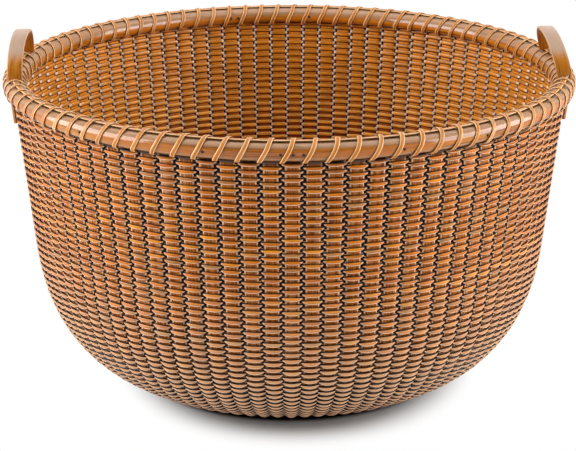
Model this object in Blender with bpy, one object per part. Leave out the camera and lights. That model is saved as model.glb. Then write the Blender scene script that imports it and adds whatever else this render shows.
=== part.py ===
"""Round open basket: turned base, thin staves, woven cane wall, lashed double rim, two ear handles.

Lengths are metres, angles are radians, +Z is up. The origin is the centre of the base plate's
underside, which stands on the table. The two handles lie at -X and +X, and the front is -Y.
"""
import itertools
import math

import bmesh
import bpy
from mathutils import Vector

# Counts
STAVE_COUNT = 91
STAVES_PER_GROUP = 7
POCKET_COLUMNS = 5
HOOP_SEGMENTS = 60
SCARF_SEGMENTS = 3
PLATE_SEGMENTS = 48
HANDLE_SEGMENTS = 12
HANDLE_SPAN_GAPS = 6
NAIL_SIDES = 6
LASH_TURNS = (23, 23, 23, 22)

# Fit between neighbouring pieces, and how far a cutter runs past what it cuts
CLEARANCE = 0.0003
CUT_OVERRUN = 0.002

# Overall form: the rim over its outer hoop, the hoops' top edge, and the rounded lower corner
RIM_DIAMETER = 0.450
HOOP_TOP = 0.2505
WALL_FLARE_SHARE = 0.1
TURN_HEIGHT = 0.111
TURN_POWER = 2.5
TURN_STATION_SHARES = (0, 0.27, 0.5, 0.74, 1)
WEAVE_THICKNESS = 0.0044
WEAVE_VALLEY_DEPTH = 0.0006

# Base plate
BASE_DIAMETER = 0.200
BASE_THICKNESS = 0.012
BASE_LOWER_ROUND = 0.0025
BASE_UPPER_ROUND = 0.0030
GROOVE_DEPTH = 0.0063
GROOVE_MIDDLE = 0.0065
WEAVE_START_GAP = 0.0017

# Staves
STAVE_THICKNESS = 0.0014
STAVE_FOOT_GAP = 0.0011
STAVE_PHASE = math.radians(0.6)

# Hoops of the rim, a half-round strip outside the staves and one inside them
HOOP_HEIGHT = 0.014
OUTER_HOOP_THICKNESS = 0.0074
INNER_HOOP_THICKNESS = 0.0078
HOOP_LOWER_ROUND = 0.0036
HOOP_UPPER_ROUND = 0.0045
SCARF_LENGTH = 0.036
INNER_SCARF_LENGTH = 0.018
INNER_SCARF_TURN_SHARE = 0.543

# Cane strip that caps the rim
CAP_WIDTH = 0.0045
CAP_THICKNESS = 0.0013
CAP_JOINT_LENGTH = 0.004

# Cane lashing: one turn in each gap between two staves; the shares say how far along the stave
# pitch it is at each corner of the rim, going up outside, over the top and down inside
LASH_WIDTH = 0.003
LASH_THICKNESS = 0.0009
LASH_SIDE_GAP = 0.0005
LASH_CORNER_SHARES = (0, 0.06, 0.46, 0.54, 0.60, 0.66, 0.94, 0.99)
LASH_END_SHARE = 0.33

# Ear handles, bent from a flat strip; each leg's tongue passes down inside the outer hoop
HANDLE_WIDTH = 0.0118
HANDLE_THICKNESS = 0.003
HANDLE_RISE = 0.0262
HANDLE_POWER = 2.3
TONGUE_DEPTH = 0.0028
TONGUE_CAP_GAP = 0.0006
TONGUE_SIDE_GAP = 0.0005
TAIL_LENGTH = 0.019
LEFT_HANDLE_GAP = 66
RIGHT_HANDLE_GAP = 20
LEFT_HANDLE_LEAN = 0.001
RIGHT_HANDLE_LEAN = 0.007

# Rim nails; each is given by its lashing turn and by its side of that turn
NAIL_HEAD_DIAMETER = 0.0022
NAIL_HEAD_THICKNESS = 0.0006
NAIL_SHANK_DIAMETER = 0.0010
NAIL_SHANK_LENGTH = 0.0052
NAIL_SIDE_GAP = 0.0014
NAIL_RISE_SHARE = 0.5
OUTER_NAIL_TURNS = ((-10, -1), (-4, 1), (0, -1), (0, 1), (1, -1), (5, 1), (10, -1))
INNER_NAIL_TURNS = ((44, -1), (48, 1), (49, -1))

# Sizes that follow from those above
PITCH_ANGLE = 2 * math.pi / STAVE_COUNT
GROUP_COUNT = STAVE_COUNT // STAVES_PER_GROUP
BASE_RADIUS = BASE_DIAMETER / 2
HOOP_BOTTOM = HOOP_TOP - HOOP_HEIGHT
STAVE_GAP_TOP = LASH_WIDTH + 2 * LASH_SIDE_GAP
TURN_FOOT_RADIUS = BASE_RADIUS + WEAVE_START_GAP
FRONT_AZIMUTH = -math.pi / 2 + STAVE_PHASE
WORST_HALF_STEP = math.pi / HOOP_SEGMENTS + SCARF_LENGTH / (2 * SCARF_SEGMENTS * RIM_DIAMETER)
INWARD_FACTOR = 1 / math.cos(WORST_HALF_STEP)


def stave_bow(width, radius):
    """How much further out a flat stave's edges lie than its middle."""
    return width ** 2 / (8 * radius)


HOOP_SEAT = STAVE_THICKNESS / 2 + CLEARANCE + stave_bow(
    math.pi * RIM_DIAMETER / STAVE_COUNT - STAVE_GAP_TOP, RIM_DIAMETER / 2)
RIM_STAVE_RADIUS = RIM_DIAMETER / 2 - OUTER_HOOP_THICKNESS - HOOP_SEAT
OUTER_REACH = HOOP_SEAT + OUTER_HOOP_THICKNESS
INNER_REACH = HOOP_SEAT + INNER_HOOP_THICKNESS
CAP_BOTTOM_RISE = HOOP_HEIGHT + CLEARANCE
CAP_TOP_RISE = CAP_BOTTOM_RISE + CAP_THICKNESS
SHOULDER_HEIGHT = HOOP_BOTTOM + CAP_TOP_RISE + CLEARANCE
TONGUE_OFFSET = CAP_WIDTH / 2 + TONGUE_CAP_GAP + TONGUE_DEPTH / 2
HANDLE_HALF_ANGLE = HANDLE_SPAN_GAPS * PITCH_ANGLE / 2


def flare_radius(height):
    """Radius of the staves' middle surface on the line of the straight, flared wall."""
    return RIM_STAVE_RADIUS + WALL_FLARE_SHARE * (height - HOOP_BOTTOM - HOOP_HEIGHT / 2)


def outward(azimuth):
    """Level unit vector pointing away from the basket's axis."""
    return Vector((math.cos(azimuth), math.sin(azimuth), 0))


def sideways(azimuth):
    """Level unit vector along the rim, anticlockwise seen from above."""
    return Vector((-math.sin(azimuth), math.cos(azimuth), 0))


def upright(height):
    """Vector straight up."""
    return Vector((0, 0, height))


def rim_point(offset, rise, azimuth, factor=1):
    """Point of the rim: offset outwards from the staves' middle, rise above the hoops' underside."""
    height = HOOP_BOTTOM + rise
    return (flare_radius(height) + offset) * factor * outward(azimuth) + upright(height)


def stave_azimuth(index):
    """Azimuth of a stave's middle."""
    return FRONT_AZIMUTH + index * PITCH_ANGLE


def gap_azimuth(index):
    """Azimuth of the gap before a stave."""
    return stave_azimuth(index) - PITCH_ANGLE / 2


def stave_width(radius):
    """Width of a tapered stave where its middle lies at this radius."""
    share = (radius - TURN_FOOT_RADIUS) / (RIM_STAVE_RADIUS - TURN_FOOT_RADIUS)
    gap = STAVE_FOOT_GAP + share * (STAVE_GAP_TOP - STAVE_FOOT_GAP)
    return 2 * radius * math.tan(PITCH_ANGLE / 2) - gap


def turn_point(share):
    """Radius and height on the rounded lower corner, from the base plate (0) to the wall (1)."""
    angle = share * math.pi / 2
    height = GROOVE_MIDDLE + TURN_HEIGHT * (1 - math.cos(angle) ** (2 / TURN_POWER))
    reach = flare_radius(height) - TURN_FOOT_RADIUS
    return Vector((TURN_FOOT_RADIUS + reach * math.sin(angle) ** (2 / TURN_POWER), height))


def wall_line_point(height):
    """Radius and height on the straight wall."""
    return Vector((flare_radius(height), height))


def stave_path():
    """Stave's middle line in its own upright plane, from its foot in the groove to its tip."""
    foot = Vector((BASE_RADIUS - GROOVE_DEPTH + CLEARANCE, GROOVE_MIDDLE))
    turn = [turn_point(share) for share in TURN_STATION_SHARES]
    return [foot] + turn + [wall_line_point(HOOP_TOP)]


def weave_path():
    """Middle line of the woven wall, which stops below the lashing that passes under the hoops."""
    lean = WEAVE_THICKNESS / 2 * WALL_FLARE_SHARE
    top = HOOP_BOTTOM - 2 * CLEARANCE - LASH_THICKNESS - lean
    return stave_path()[1:-1] + [wall_line_point(top)]


def path_normals(path, before=None):
    """Normals that keep a parallel line at its distance, with a point before the path if given."""
    normals = []
    for index, point in enumerate(path):
        earlier = path[index - 1] if index else before
        later = path[index + 1] if index + 1 < len(path) else None
        runs = [(point - earlier).normalized()] if earlier is not None else []
        if later is not None:
            runs.append((later - point).normalized())
        sides = [Vector((run.y, -run.x)) for run in runs]
        middle = sum(sides, Vector((0, 0))).normalized()
        normals.append(middle / middle.dot(sides[0]))
    return normals


def remove_all_objects():
    """Start from an empty scene."""
    for item in list(bpy.data.objects):
        bpy.data.objects.remove(item, do_unlink=True)


def make_material(name, colour, roughness):
    """Plain Principled material of one finish."""
    material = bpy.data.materials.new(name)
    material.use_nodes = True
    shader = material.node_tree.nodes["Principled BSDF"]
    shader.inputs["Base Color"].default_value = (*colour, 1)
    shader.inputs["Roughness"].default_value = roughness
    shader.inputs["Metallic"].default_value = 0
    return material


def add_object(name, mesh, material, smooth_angle=math.radians(25)):
    """Turn a closed bmesh into a named object with its material and outward faces."""
    bmesh.ops.recalc_face_normals(mesh, faces=mesh.faces)
    data = bpy.data.meshes.new(name)
    mesh.to_mesh(data)
    mesh.free()
    data.materials.append(material)
    data.shade_smooth()
    data.set_sharp_from_angle(angle=smooth_angle)
    item = bpy.data.objects.new(name, data)
    bpy.context.scene.collection.objects.link(item)
    return item


def cell_solid(points, is_filled):
    """Skin the filled cells of a grid points[i][j][k], without walls between two filled cells."""
    cells = (len(points) - 1, len(points[0]) - 1, len(points[0][0]) - 1)
    mesh = bmesh.new()
    made = {}

    def vertex(key):
        if key not in made:
            made[key] = mesh.verts.new(points[key[0]][key[1]][key[2]])
        return made[key]

    def solid(cell):
        inside = all(0 <= place < count for place, count in zip(cell, cells))
        return inside and is_filled(*cell)

    for cell in itertools.product(*(range(count) for count in cells)):
        if not solid(cell):
            continue
        for axis, side in itertools.product(range(3), (0, 1)):
            neighbour = list(cell)
            neighbour[axis] += 2 * side - 1
            if solid(tuple(neighbour)):
                continue
            across = [other for other in range(3) if other != axis]
            corners = []
            for step in ((0, 0), (1, 0), (1, 1), (0, 1)):
                key = list(cell)
                key[axis] += side
                key[across[0]] += step[0]
                key[across[1]] += step[1]
                corners.append(vertex(tuple(key)))
            mesh.faces.new(corners)
    return mesh


def turned_solid(profile, sides):
    """Solid turned about Z from (radius, height) points that start and end on the axis."""
    mesh = bmesh.new()
    rings = []
    for radius, height in profile:
        if radius == 0:
            rings.append([mesh.verts.new((0, 0, height))] * sides)
            continue
        turns = (2 * math.pi * index / sides for index in range(sides))
        rings.append([mesh.verts.new(radius * outward(turn) + upright(height)) for turn in turns])
    for lower, upper in zip(rings, rings[1:]):
        for index in range(sides):
            after = (index + 1) % sides
            loop = [lower[index], lower[after], upper[after], upper[index]]
            mesh.faces.new(list(dict.fromkeys(loop)))
    return mesh


def swept_solid(rings, cap_pairs):
    """Solid through equal rings of points; cap_pairs are the triangles that close each end."""
    mesh = bmesh.new()
    made = [[mesh.verts.new(point) for point in ring] for ring in rings]
    count = len(made[0])
    for first, second in zip(made, made[1:]):
        for index in range(count):
            after = (index + 1) % count
            mesh.faces.new((first[index], first[after], second[after], second[index]))
    for ring in (made[0], made[-1]):
        for triangle in cap_pairs:
            mesh.faces.new([ring[index] for index in triangle])
    return mesh


def strip_caps(half):
    """Triangles across a section whose lower chain runs out and whose upper chain runs back."""
    last = 2 * half - 1
    triangles = []
    for index in range(half - 1):
        triangles.append((index, index + 1, last - index - 1))
        triangles.append((index, last - index - 1, last - index))
    return triangles


def make_base_plate(material):
    """Turned wooden disc with rounded edges and a groove round its rim for the staves' feet."""
    groove_half = STAVE_THICKNESS / 2 + CLEARANCE
    profile = (
        (0, 0),
        (BASE_RADIUS - BASE_LOWER_ROUND, 0),
        (BASE_RADIUS, BASE_LOWER_ROUND),
        (BASE_RADIUS, GROOVE_MIDDLE - groove_half),
        (BASE_RADIUS - GROOVE_DEPTH, GROOVE_MIDDLE - groove_half),
        (BASE_RADIUS - GROOVE_DEPTH, GROOVE_MIDDLE + groove_half),
        (BASE_RADIUS, GROOVE_MIDDLE + groove_half),
        (BASE_RADIUS, BASE_THICKNESS - BASE_UPPER_ROUND / 2),
        (BASE_RADIUS - BASE_UPPER_ROUND, BASE_THICKNESS),
        (0, BASE_THICKNESS),
    )
    return add_object("base_plate", turned_solid(profile, PLATE_SEGMENTS), material)


def make_stave_group(number, material):
    """Seven tapered staves, joined only where their feet touch in the base plate's groove."""
    path = stave_path()
    normals = path_normals(path)
    points = []
    for index in range(STAVES_PER_GROUP):
        azimuth = stave_azimuth((number - 1) * STAVES_PER_GROUP + index)
        for side in (-1, 1):
            edge = []
            for place, normal in zip(path, normals):
                aside = side * stave_width(place.x) / 2 * sideways(azimuth)
                faces = []
                for layer in (-1, 1):
                    spot = place + layer * STAVE_THICKNESS / 2 * normal
                    faces.append(spot.x * outward(azimuth) + upright(spot.y) + aside)
                edge.append(faces)
            points.append(edge)
    mesh = cell_solid(points, lambda column, segment, layer: column % 2 == 0 or segment == 0)
    return add_object(f"stave_group_{number:02d}", mesh, material)


def pocket_edge(azimuth, side, radius):
    """Azimuth of the side of a pocket, a clearance beyond the edge of the stave at this azimuth."""
    half = stave_width(radius) / 2 + CLEARANCE
    return azimuth + side * math.atan(half / (radius - STAVE_THICKNESS / 2 - CLEARANCE))


def pocket_azimuths(group, radius):
    """Azimuths of a pocket's columns, from one stave edge of its group to the last one."""
    first = pocket_edge(stave_azimuth(group * STAVES_PER_GROUP), -1, radius)
    last = pocket_edge(stave_azimuth((group + 1) * STAVES_PER_GROUP - 1), 1, radius)
    return [first + (last - first) * column / POCKET_COLUMNS
            for column in range(POCKET_COLUMNS + 1)]


def wall_layers(mesh, place, normal):
    """Vertices of the wall at one station: its ribbed skin, its lining and both faces of its slots.

    The skin has a valley in each gap between two staves and a crest over each stave. The others
    are lists of the columns of each group.
    """
    half_column = STAVES_PER_GROUP * PITCH_ANGLE / POCKET_COLUMNS / 2
    slot_half = STAVE_THICKNESS / 2 + CLEARANCE + stave_bow(stave_width(place.x), place.x)

    def vertex(azimuth, distance, factor=1):
        spot = place + distance * normal
        return mesh.verts.new(spot.x * factor * outward(azimuth) + upright(spot.y))

    skin = []
    for index in range(STAVE_COUNT):
        skin.append(vertex(gap_azimuth(index), WEAVE_THICKNESS / 2 - WEAVE_VALLEY_DEPTH))
        skin.append(vertex(stave_azimuth(index), WEAVE_THICKNESS / 2))
    columns = [pocket_azimuths(group, place.x) for group in range(GROUP_COUNT)]
    layers = ((-WEAVE_THICKNESS / 2, 1), (-slot_half, 1), (slot_half, 1 / math.cos(half_column)))
    return skin, *([[vertex(azimuth, *layer) for azimuth in group] for group in columns]
                   for layer in layers)


def wall_loops(skin, lining, inner, outer):
    """Closed rows of one station's vertices: the skin, the lining and then each slot."""
    return [skin, sum(lining, [])] + [near + far[::-1] for near, far in zip(inner, outer)]


def close_wall_end(mesh, skin, lining, inner, outer):
    """Close the wall round the ends of its slots."""
    per_group = 2 * STAVES_PER_GROUP
    for group in range(GROUP_COUNT):
        after = (group + 1) % GROUP_COUNT
        ribs = [skin[(group * per_group + step) % len(skin)] for step in range(per_group + 1)]
        mesh.faces.new(ribs + outer[group][::-1])
        for column in range(POCKET_COLUMNS):
            mesh.faces.new((inner[group][column], inner[group][column + 1],
                            lining[group][column + 1], lining[group][column]))
        mesh.faces.new((outer[group][-1], ribs[-1], outer[after][0], inner[after][0],
                        lining[after][0], lining[group][-1], inner[group][-1]))


def make_woven_wall(material):
    """Woven shell, ribbed outside over its staves, with a slot through it for each stave group."""
    mesh = bmesh.new()
    path = weave_path()
    normals = path_normals(path, stave_path()[0])
    stations = [wall_layers(mesh, place, normal) for place, normal in zip(path, normals)]
    for lower, upper in zip(stations, stations[1:]):
        for below, above in zip(wall_loops(*lower), wall_loops(*upper)):
            for index in range(len(below)):
                after = (index + 1) % len(below)
                mesh.faces.new((below[index], below[after], above[after], above[index]))
    close_wall_end(mesh, *stations[0])
    close_wall_end(mesh, *stations[-1])
    return add_object("woven_wall", mesh, material)


def upper_corner(reach):
    """Offset at which the rim's slanting shoulder meets the hoops' top."""
    rise = HOOP_UPPER_ROUND / (HOOP_UPPER_ROUND + CAP_TOP_RISE - HOOP_HEIGHT)
    return reach - (reach - CAP_WIDTH / 2) * rise


def make_rim_strip(name, side, section, joint_azimuth, joint_length, material):
    """Strip bent once round the rim, whose slanting ends meet at a joint with a clearance.

    side is 1 for a strip outside the staves and -1 for one inside. The section gives offset and
    rise, first along its lower chain outwards, then back along its upper chain.
    """
    offsets = [offset for offset, rise in section]
    low, high = min(offsets), max(offsets)
    depth = high - low
    slant = joint_length / RIM_STAVE_RADIUS
    opening = CLEARANCE * math.hypot(joint_length, depth) / depth / RIM_STAVE_RADIUS
    rings = []
    for index in range(HOOP_SEGMENTS + 1):
        turn = opening / 2 + (2 * math.pi - opening) * index / HOOP_SEGMENTS
        fade = max(0, 1 - min(index, HOOP_SEGMENTS - index) / SCARF_SEGMENTS)
        ring = []
        for offset, rise in section:
            share = (offset - low) / depth - 1 / 2
            azimuth = joint_azimuth + turn + slant * share * fade
            faces_axis = offset == low if side == 1 else offset != high
            ring.append(rim_point(offset, rise, azimuth, INWARD_FACTOR if faces_axis else 1))
        rings.append(ring)
    mesh = swept_solid(rings, strip_caps(len(section) // 2))
    return add_object(name, mesh, material)


def hoop_section(seat, reach, side):
    """Half-round section of a hoop, as offset and rise, on the given side of the staves."""
    return [
        (side * seat, 0),
        (side * (reach - HOOP_LOWER_ROUND), 0),
        (side * reach, HOOP_LOWER_ROUND),
        (side * reach, HOOP_HEIGHT - HOOP_UPPER_ROUND),
        (side * upper_corner(reach), HOOP_HEIGHT),
        (side * seat, HOOP_HEIGHT),
    ]


def make_outer_hoop(material, cutter_material):
    """Outer hoop, notched on its inner face for the handles' tongues and bored for its nails."""
    section = hoop_section(HOOP_SEAT, OUTER_REACH, 1)
    joint = lash_azimuth(0, NAIL_RISE_SHARE * HOOP_HEIGHT, 1)
    hoop = make_rim_strip("outer_hoop", 1, section, joint, SCARF_LENGTH, material)
    cutter = bmesh.new()
    for first_gap in (LEFT_HANDLE_GAP, RIGHT_HANDLE_GAP):
        for end in (-1, 1):
            add_notch(cutter, first_gap, end)
    for turn, side in OUTER_NAIL_TURNS:
        add_nail_hole(cutter, turn, side, 1)
    cut_from(hoop, cutter, "outer_hoop_cutter", cutter_material)
    return hoop


def make_inner_hoop(material, cutter_material):
    """Inner hoop, bored for its nails, with its joint at the back."""
    section = hoop_section(HOOP_SEAT, INNER_REACH, -1)
    joint = FRONT_AZIMUTH + INNER_SCARF_TURN_SHARE * 2 * math.pi
    hoop = make_rim_strip("inner_hoop", -1, section, joint, INNER_SCARF_LENGTH, material)
    cutter = bmesh.new()
    for turn, side in INNER_NAIL_TURNS:
        add_nail_hole(cutter, turn, side, -1)
    cut_from(hoop, cutter, "inner_hoop_cutter", cutter_material)
    return hoop


def make_rim_cap(material):
    """Flat cane strip that lies on both hoops and covers the staves' ends."""
    half = CAP_WIDTH / 2
    section = [
        (-half, CAP_BOTTOM_RISE),
        (half, CAP_BOTTOM_RISE),
        (half, CAP_TOP_RISE),
        (-half, CAP_TOP_RISE),
    ]
    joint = gap_azimuth(STAVES_PER_GROUP)
    return make_rim_strip("rim_cap", 1, section, joint, CAP_JOINT_LENGTH, material)


def rim_outline():
    """Corners of the bound rim as offset and rise, from under the outer hoop up and over it."""
    half = CAP_WIDTH / 2
    upper = HOOP_HEIGHT - HOOP_UPPER_ROUND
    return [
        Vector((OUTER_REACH - HOOP_LOWER_ROUND, 0)),
        Vector((OUTER_REACH, HOOP_LOWER_ROUND)),
        Vector((OUTER_REACH, upper)),
        Vector((half, CAP_TOP_RISE)),
        Vector((-half, CAP_TOP_RISE)),
        Vector((-INNER_REACH, upper)),
        Vector((-INNER_REACH, HOOP_LOWER_ROUND)),
        Vector((HOOP_LOWER_ROUND - INNER_REACH, 0)),
    ]


def lash_corner(index, distance):
    """Corner of the rim's outline, moved out by a distance square to both of its sides."""
    outline = rim_outline()
    count = len(outline)
    before, here, after = (outline[(index + step) % count] for step in (-1, 0, 1))
    sides = [Vector((run.y, -run.x)).normalized() for run in (here - before, after - here)]
    middle = (sides[0] + sides[1]).normalized()
    return here + distance * middle / middle.dot(sides[0])


def lash_azimuth(turn, rise, side):
    """Azimuth of a lashing turn at this rise on the rim's outer (1) or inner (-1) face."""
    low, high = (1, 2) if side == 1 else (6, 5)
    span = HOOP_HEIGHT - HOOP_UPPER_ROUND - HOOP_LOWER_ROUND
    share = (rise - HOOP_LOWER_ROUND) / span
    corner = LASH_CORNER_SHARES[low] + share * (LASH_CORNER_SHARES[high] - LASH_CORNER_SHARES[low])
    return gap_azimuth(turn) + corner * PITCH_ANGLE


def lash_ring(turn, corner):
    """Four corners of the flat cane where a turn passes one corner of the rim's outline."""
    azimuth = gap_azimuth(turn) + LASH_CORNER_SHARES[corner] * PITCH_ANGLE
    aside = LASH_WIDTH / 2 * sideways(azimuth)
    inner, outer = (rim_point(*lash_corner(corner, distance), azimuth)
                    for distance in (CLEARANCE, CLEARANCE + LASH_THICKNESS))
    return [inner - aside, inner + aside, outer + aside, outer - aside]


def between(first, second, share):
    """Ring of points part of the way from one ring to another."""
    return [one.lerp(other, share) for one, other in zip(first, second)]


def make_rim_lashing(number, first_turn, turns, material):
    """One unbroken length of flat cane, wound round both hoops and the cap, a turn to each gap."""
    corners = range(len(LASH_CORNER_SHARES))
    rings = [lash_ring(first_turn + turn, corner) for turn in range(turns) for corner in corners]
    under_before = between(lash_ring(first_turn - 1, corners[-1]), rings[0], 1 - LASH_END_SHARE)
    under_after = between(rings[-1], lash_ring(first_turn + turns, 0), LASH_END_SHARE)
    rings = [under_before] + rings + [under_after]
    report_winding_gap(f"rim_lashing_{number}", rings)
    return add_object(f"rim_lashing_{number}", swept_solid(rings, strip_caps(2)), material)


def report_winding_gap(name, rings):
    """Print the least gap between neighbouring turns, measured on points along both edges."""
    per_turn = len(LASH_CORNER_SHARES)
    samples = 4
    edges = [[], []]
    for first, second in zip(rings, rings[1:]):
        for step in range(samples):
            ring = between(first, second, step / samples)
            edges[0].append((ring[0] + ring[3]) / 2)
            edges[1].append((ring[1] + ring[2]) / 2)
    turn = per_turn * samples
    gaps = []
    for index, point in enumerate(edges[1]):
        nearby = edges[0][index + turn // 2:index + turn + turn // 2]
        gaps.extend((point - other).length for other in nearby)
    least = min(gaps) - LASH_THICKNESS
    print(f"{name}: least gap to itself {1000 * least:.2f} mm")


def tongue_azimuth(first_gap, end):
    """Azimuth of a leg's tongue, beside the lashing that comes up through its gap."""
    skewed = HANDLE_THICKNESS + TONGUE_DEPTH * math.sin(HANDLE_HALF_ANGLE)
    beside = (LASH_WIDTH + skewed) / 2 + TONGUE_SIDE_GAP
    gap = first_gap if end == -1 else first_gap + HANDLE_SPAN_GAPS
    return gap_azimuth(gap) + beside / RIM_STAVE_RADIUS


def handle_point(first_gap, across, along, height):
    """Point of a handle: across outwards from its tongues, along the rim, at a height."""
    middle = (tongue_azimuth(first_gap, -1) + tongue_azimuth(first_gap, 1)) / 2
    reach = (flare_radius(SHOULDER_HEIGHT) + TONGUE_OFFSET) * math.cos(HANDLE_HALF_ANGLE)
    return (reach + across) * outward(middle) + along * sideways(middle) + upright(height)


def leg_along(end):
    """Place of a leg along the rim, before or after the handle's middle."""
    return end * (flare_radius(SHOULDER_HEIGHT) + TONGUE_OFFSET) * math.sin(HANDLE_HALF_ANGLE)


def follow_wall(point, azimuth, height):
    """Move a point of a tongue from the shoulder's height down or up along the flared wall."""
    drop = SHOULDER_HEIGHT - height
    return point - WALL_FLARE_SHARE * drop * outward(azimuth) - upright(drop)


def handle_path():
    """Middle line of the bent strip in its own plane, from one shoulder over to the other."""
    rise = HANDLE_RISE - HANDLE_THICKNESS / 2
    path = []
    for index in range(HANDLE_SEGMENTS + 1):
        angle = math.pi * index / HANDLE_SEGMENTS
        run = -math.copysign(abs(math.cos(angle)) ** (2 / HANDLE_POWER), math.cos(angle))
        climb = abs(math.sin(angle)) ** (2 / HANDLE_POWER) if 0 < index < HANDLE_SEGMENTS else 0
        path.append(Vector((leg_along(1) * run, SHOULDER_HEIGHT + rise * climb)))
    return path


def make_handle(name, first_gap, lean, material):
    """Ear handle: a flat strip bent to an arch, with a narrow tongue on the outer side of each leg."""
    path = handle_path()
    edges = (TONGUE_DEPTH / 2 - HANDLE_WIDTH, -TONGUE_DEPTH / 2, TONGUE_DEPTH / 2)
    normals = path_normals(path)
    normals[0], normals[-1] = Vector((1, 0)), Vector((-1, 0))
    stations = []
    for place, normal in zip(path, normals):
        shift = lean * (place.y - SHOULDER_HEIGHT) / HANDLE_RISE
        station = []
        for edge in edges:
            spots = [place + side * HANDLE_THICKNESS / 2 * normal for side in (-1, 1)]
            station.append([handle_point(first_gap, edge - shift, spot.x, spot.y)
                            for spot in spots])
        stations.append(station)
    tail_height = HOOP_BOTTOM - TAIL_LENGTH
    for end, station in ((-1, stations[0]), (1, stations[-1])):
        azimuth = tongue_azimuth(first_gap, end)
        tail = [[follow_wall(spot, azimuth, tail_height) for spot in spots] for spots in station]
        stations.insert(0 if end == -1 else len(stations), tail)
    last = len(stations) - 2
    mesh = cell_solid(stations, lambda part, strip, layer: strip == 1 or 0 < part < last)
    return add_object(name, mesh, material)


def add_block(mesh, corners):
    """Add a six-sided block from its corners [low or high][inner or outer][one side or other]."""
    spots = [[[mesh.verts.new(point) for point in row] for row in level] for level in corners]
    bottom = (spots[0][0][0], spots[0][0][1], spots[0][1][1], spots[0][1][0])
    top = (spots[1][0][0], spots[1][0][1], spots[1][1][1], spots[1][1][0])
    mesh.faces.new(bottom)
    mesh.faces.new(top)
    for index in range(4):
        after = (index + 1) % 4
        mesh.faces.new((bottom[index], bottom[after], top[after], top[index]))


def add_notch(mesh, first_gap, end):
    """Add the block that cuts the seat of one tongue into the outer hoop's inner face."""
    azimuth = tongue_azimuth(first_gap, end)
    edges = (-TONGUE_OFFSET, TONGUE_DEPTH / 2 + CLEARANCE)
    half = HANDLE_THICKNESS / 2 + CLEARANCE
    corners = []
    for height in (HOOP_BOTTOM - CUT_OVERRUN, HOOP_TOP + CUT_OVERRUN):
        level = []
        for edge in edges:
            row = [handle_point(first_gap, edge, leg_along(end) + side * half, SHOULDER_HEIGHT)
                   for side in (-1, 1)]
            level.append([follow_wall(point, azimuth, height) for point in row])
        corners.append(level)
    add_block(mesh, corners)


def nail_place(turn, side, face):
    """Point on the rim's outer (1) or inner (-1) face for a nail, and the way that its head looks."""
    rise = NAIL_RISE_SHARE * HOOP_HEIGHT
    reach = OUTER_REACH if face == 1 else INNER_REACH
    radius = RIM_STAVE_RADIUS + face * reach
    beside = (LASH_WIDTH + NAIL_HEAD_DIAMETER) / 2 + NAIL_SIDE_GAP
    azimuth = lash_azimuth(turn, rise, face) + side * beside / radius
    head_side = face * (outward(azimuth) - WALL_FLARE_SHARE * upright(1))
    return rim_point(face * reach, rise, azimuth), head_side.normalized()


def add_nail_hole(mesh, turn, side, face):
    """Add the cylinder that bores a nail's hole through its hoop."""
    place, head_side = nail_place(turn, side, face)
    thickness = OUTER_HOOP_THICKNESS if face == 1 else INNER_HOOP_THICKNESS
    depth = thickness + 2 * CUT_OVERRUN
    turned = head_side.to_track_quat("Z", "Y").to_matrix().to_4x4()
    turned.translation = place - thickness / 2 * head_side
    radius = NAIL_SHANK_DIAMETER / 2 + CLEARANCE
    bmesh.ops.create_cone(mesh, cap_ends=True, segments=NAIL_SIDES, radius1=radius,
                          radius2=radius, depth=depth, matrix=turned)


def cut_from(item, cutter_mesh, name, material):
    """Take the cutter's bodies out of a piece with an exact Boolean."""
    cutter = add_object(name, cutter_mesh, material)
    cutter.hide_render = True
    cutter.display_type = "WIRE"
    cut = item.modifiers.new("cut", "BOOLEAN")
    cut.operation = "DIFFERENCE"
    cut.solver = "EXACT"
    cut.object = cutter


def make_nail(number, turn, side, face, material):
    """Small nail with a domed head on the hoop's face and its shank in the bored hole."""
    shank = NAIL_SHANK_DIAMETER / 2
    head = NAIL_HEAD_DIAMETER / 2
    profile = (
        (0, CLEARANCE - NAIL_SHANK_LENGTH),
        (shank, CLEARANCE - NAIL_SHANK_LENGTH),
        (shank, CLEARANCE),
        (head, CLEARANCE),
        (0, CLEARANCE + NAIL_HEAD_THICKNESS),
    )
    nail = add_object(f"rim_nail_{number:02d}", turned_solid(profile, NAIL_SIDES), material)
    place, head_side = nail_place(turn, side, face)
    nail.location = place
    nail.rotation_mode = "QUATERNION"
    nail.rotation_quaternion = head_side.to_track_quat("Z", "Y")
    return nail


def main():
    """Build every piece of the basket."""
    remove_all_objects()
    wood = make_material("turned_hardwood", (0.24, 0.11, 0.045), 0.45)
    stave = make_material("oak_stave", (0.36, 0.19, 0.075), 0.5)
    cane = make_material("woven_cane", (0.42, 0.22, 0.085), 0.5)
    hoop = make_material("bent_hoop_wood", (0.34, 0.16, 0.055), 0.35)
    handle = make_material("bent_handle_wood", (0.38, 0.20, 0.08), 0.4)
    lashing = make_material("lashing_cane", (0.55, 0.30, 0.12), 0.45)
    nail = make_material("aged_nail", (0.06, 0.045, 0.035), 0.5)

    make_base_plate(wood)
    for number in range(1, GROUP_COUNT + 1):
        make_stave_group(number, stave)
    make_woven_wall(cane)
    make_outer_hoop(hoop, wood)
    make_inner_hoop(hoop, wood)
    make_rim_cap(lashing)
    first_turn = 0
    for number, turns in enumerate(LASH_TURNS, 1):
        make_rim_lashing(number, first_turn, turns, lashing)
        first_turn += turns
    make_handle("left_handle", LEFT_HANDLE_GAP, LEFT_HANDLE_LEAN, handle)
    make_handle("right_handle", RIGHT_HANDLE_GAP, RIGHT_HANDLE_LEAN, handle)
    nails = [(turn, side, 1) for turn, side in OUTER_NAIL_TURNS]
    nails += [(turn, side, -1) for turn, side in INNER_NAIL_TURNS]
    for number, (turn, side, face) in enumerate(nails, 1):
        make_nail(number, turn, side, face, nail)


main()
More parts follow.
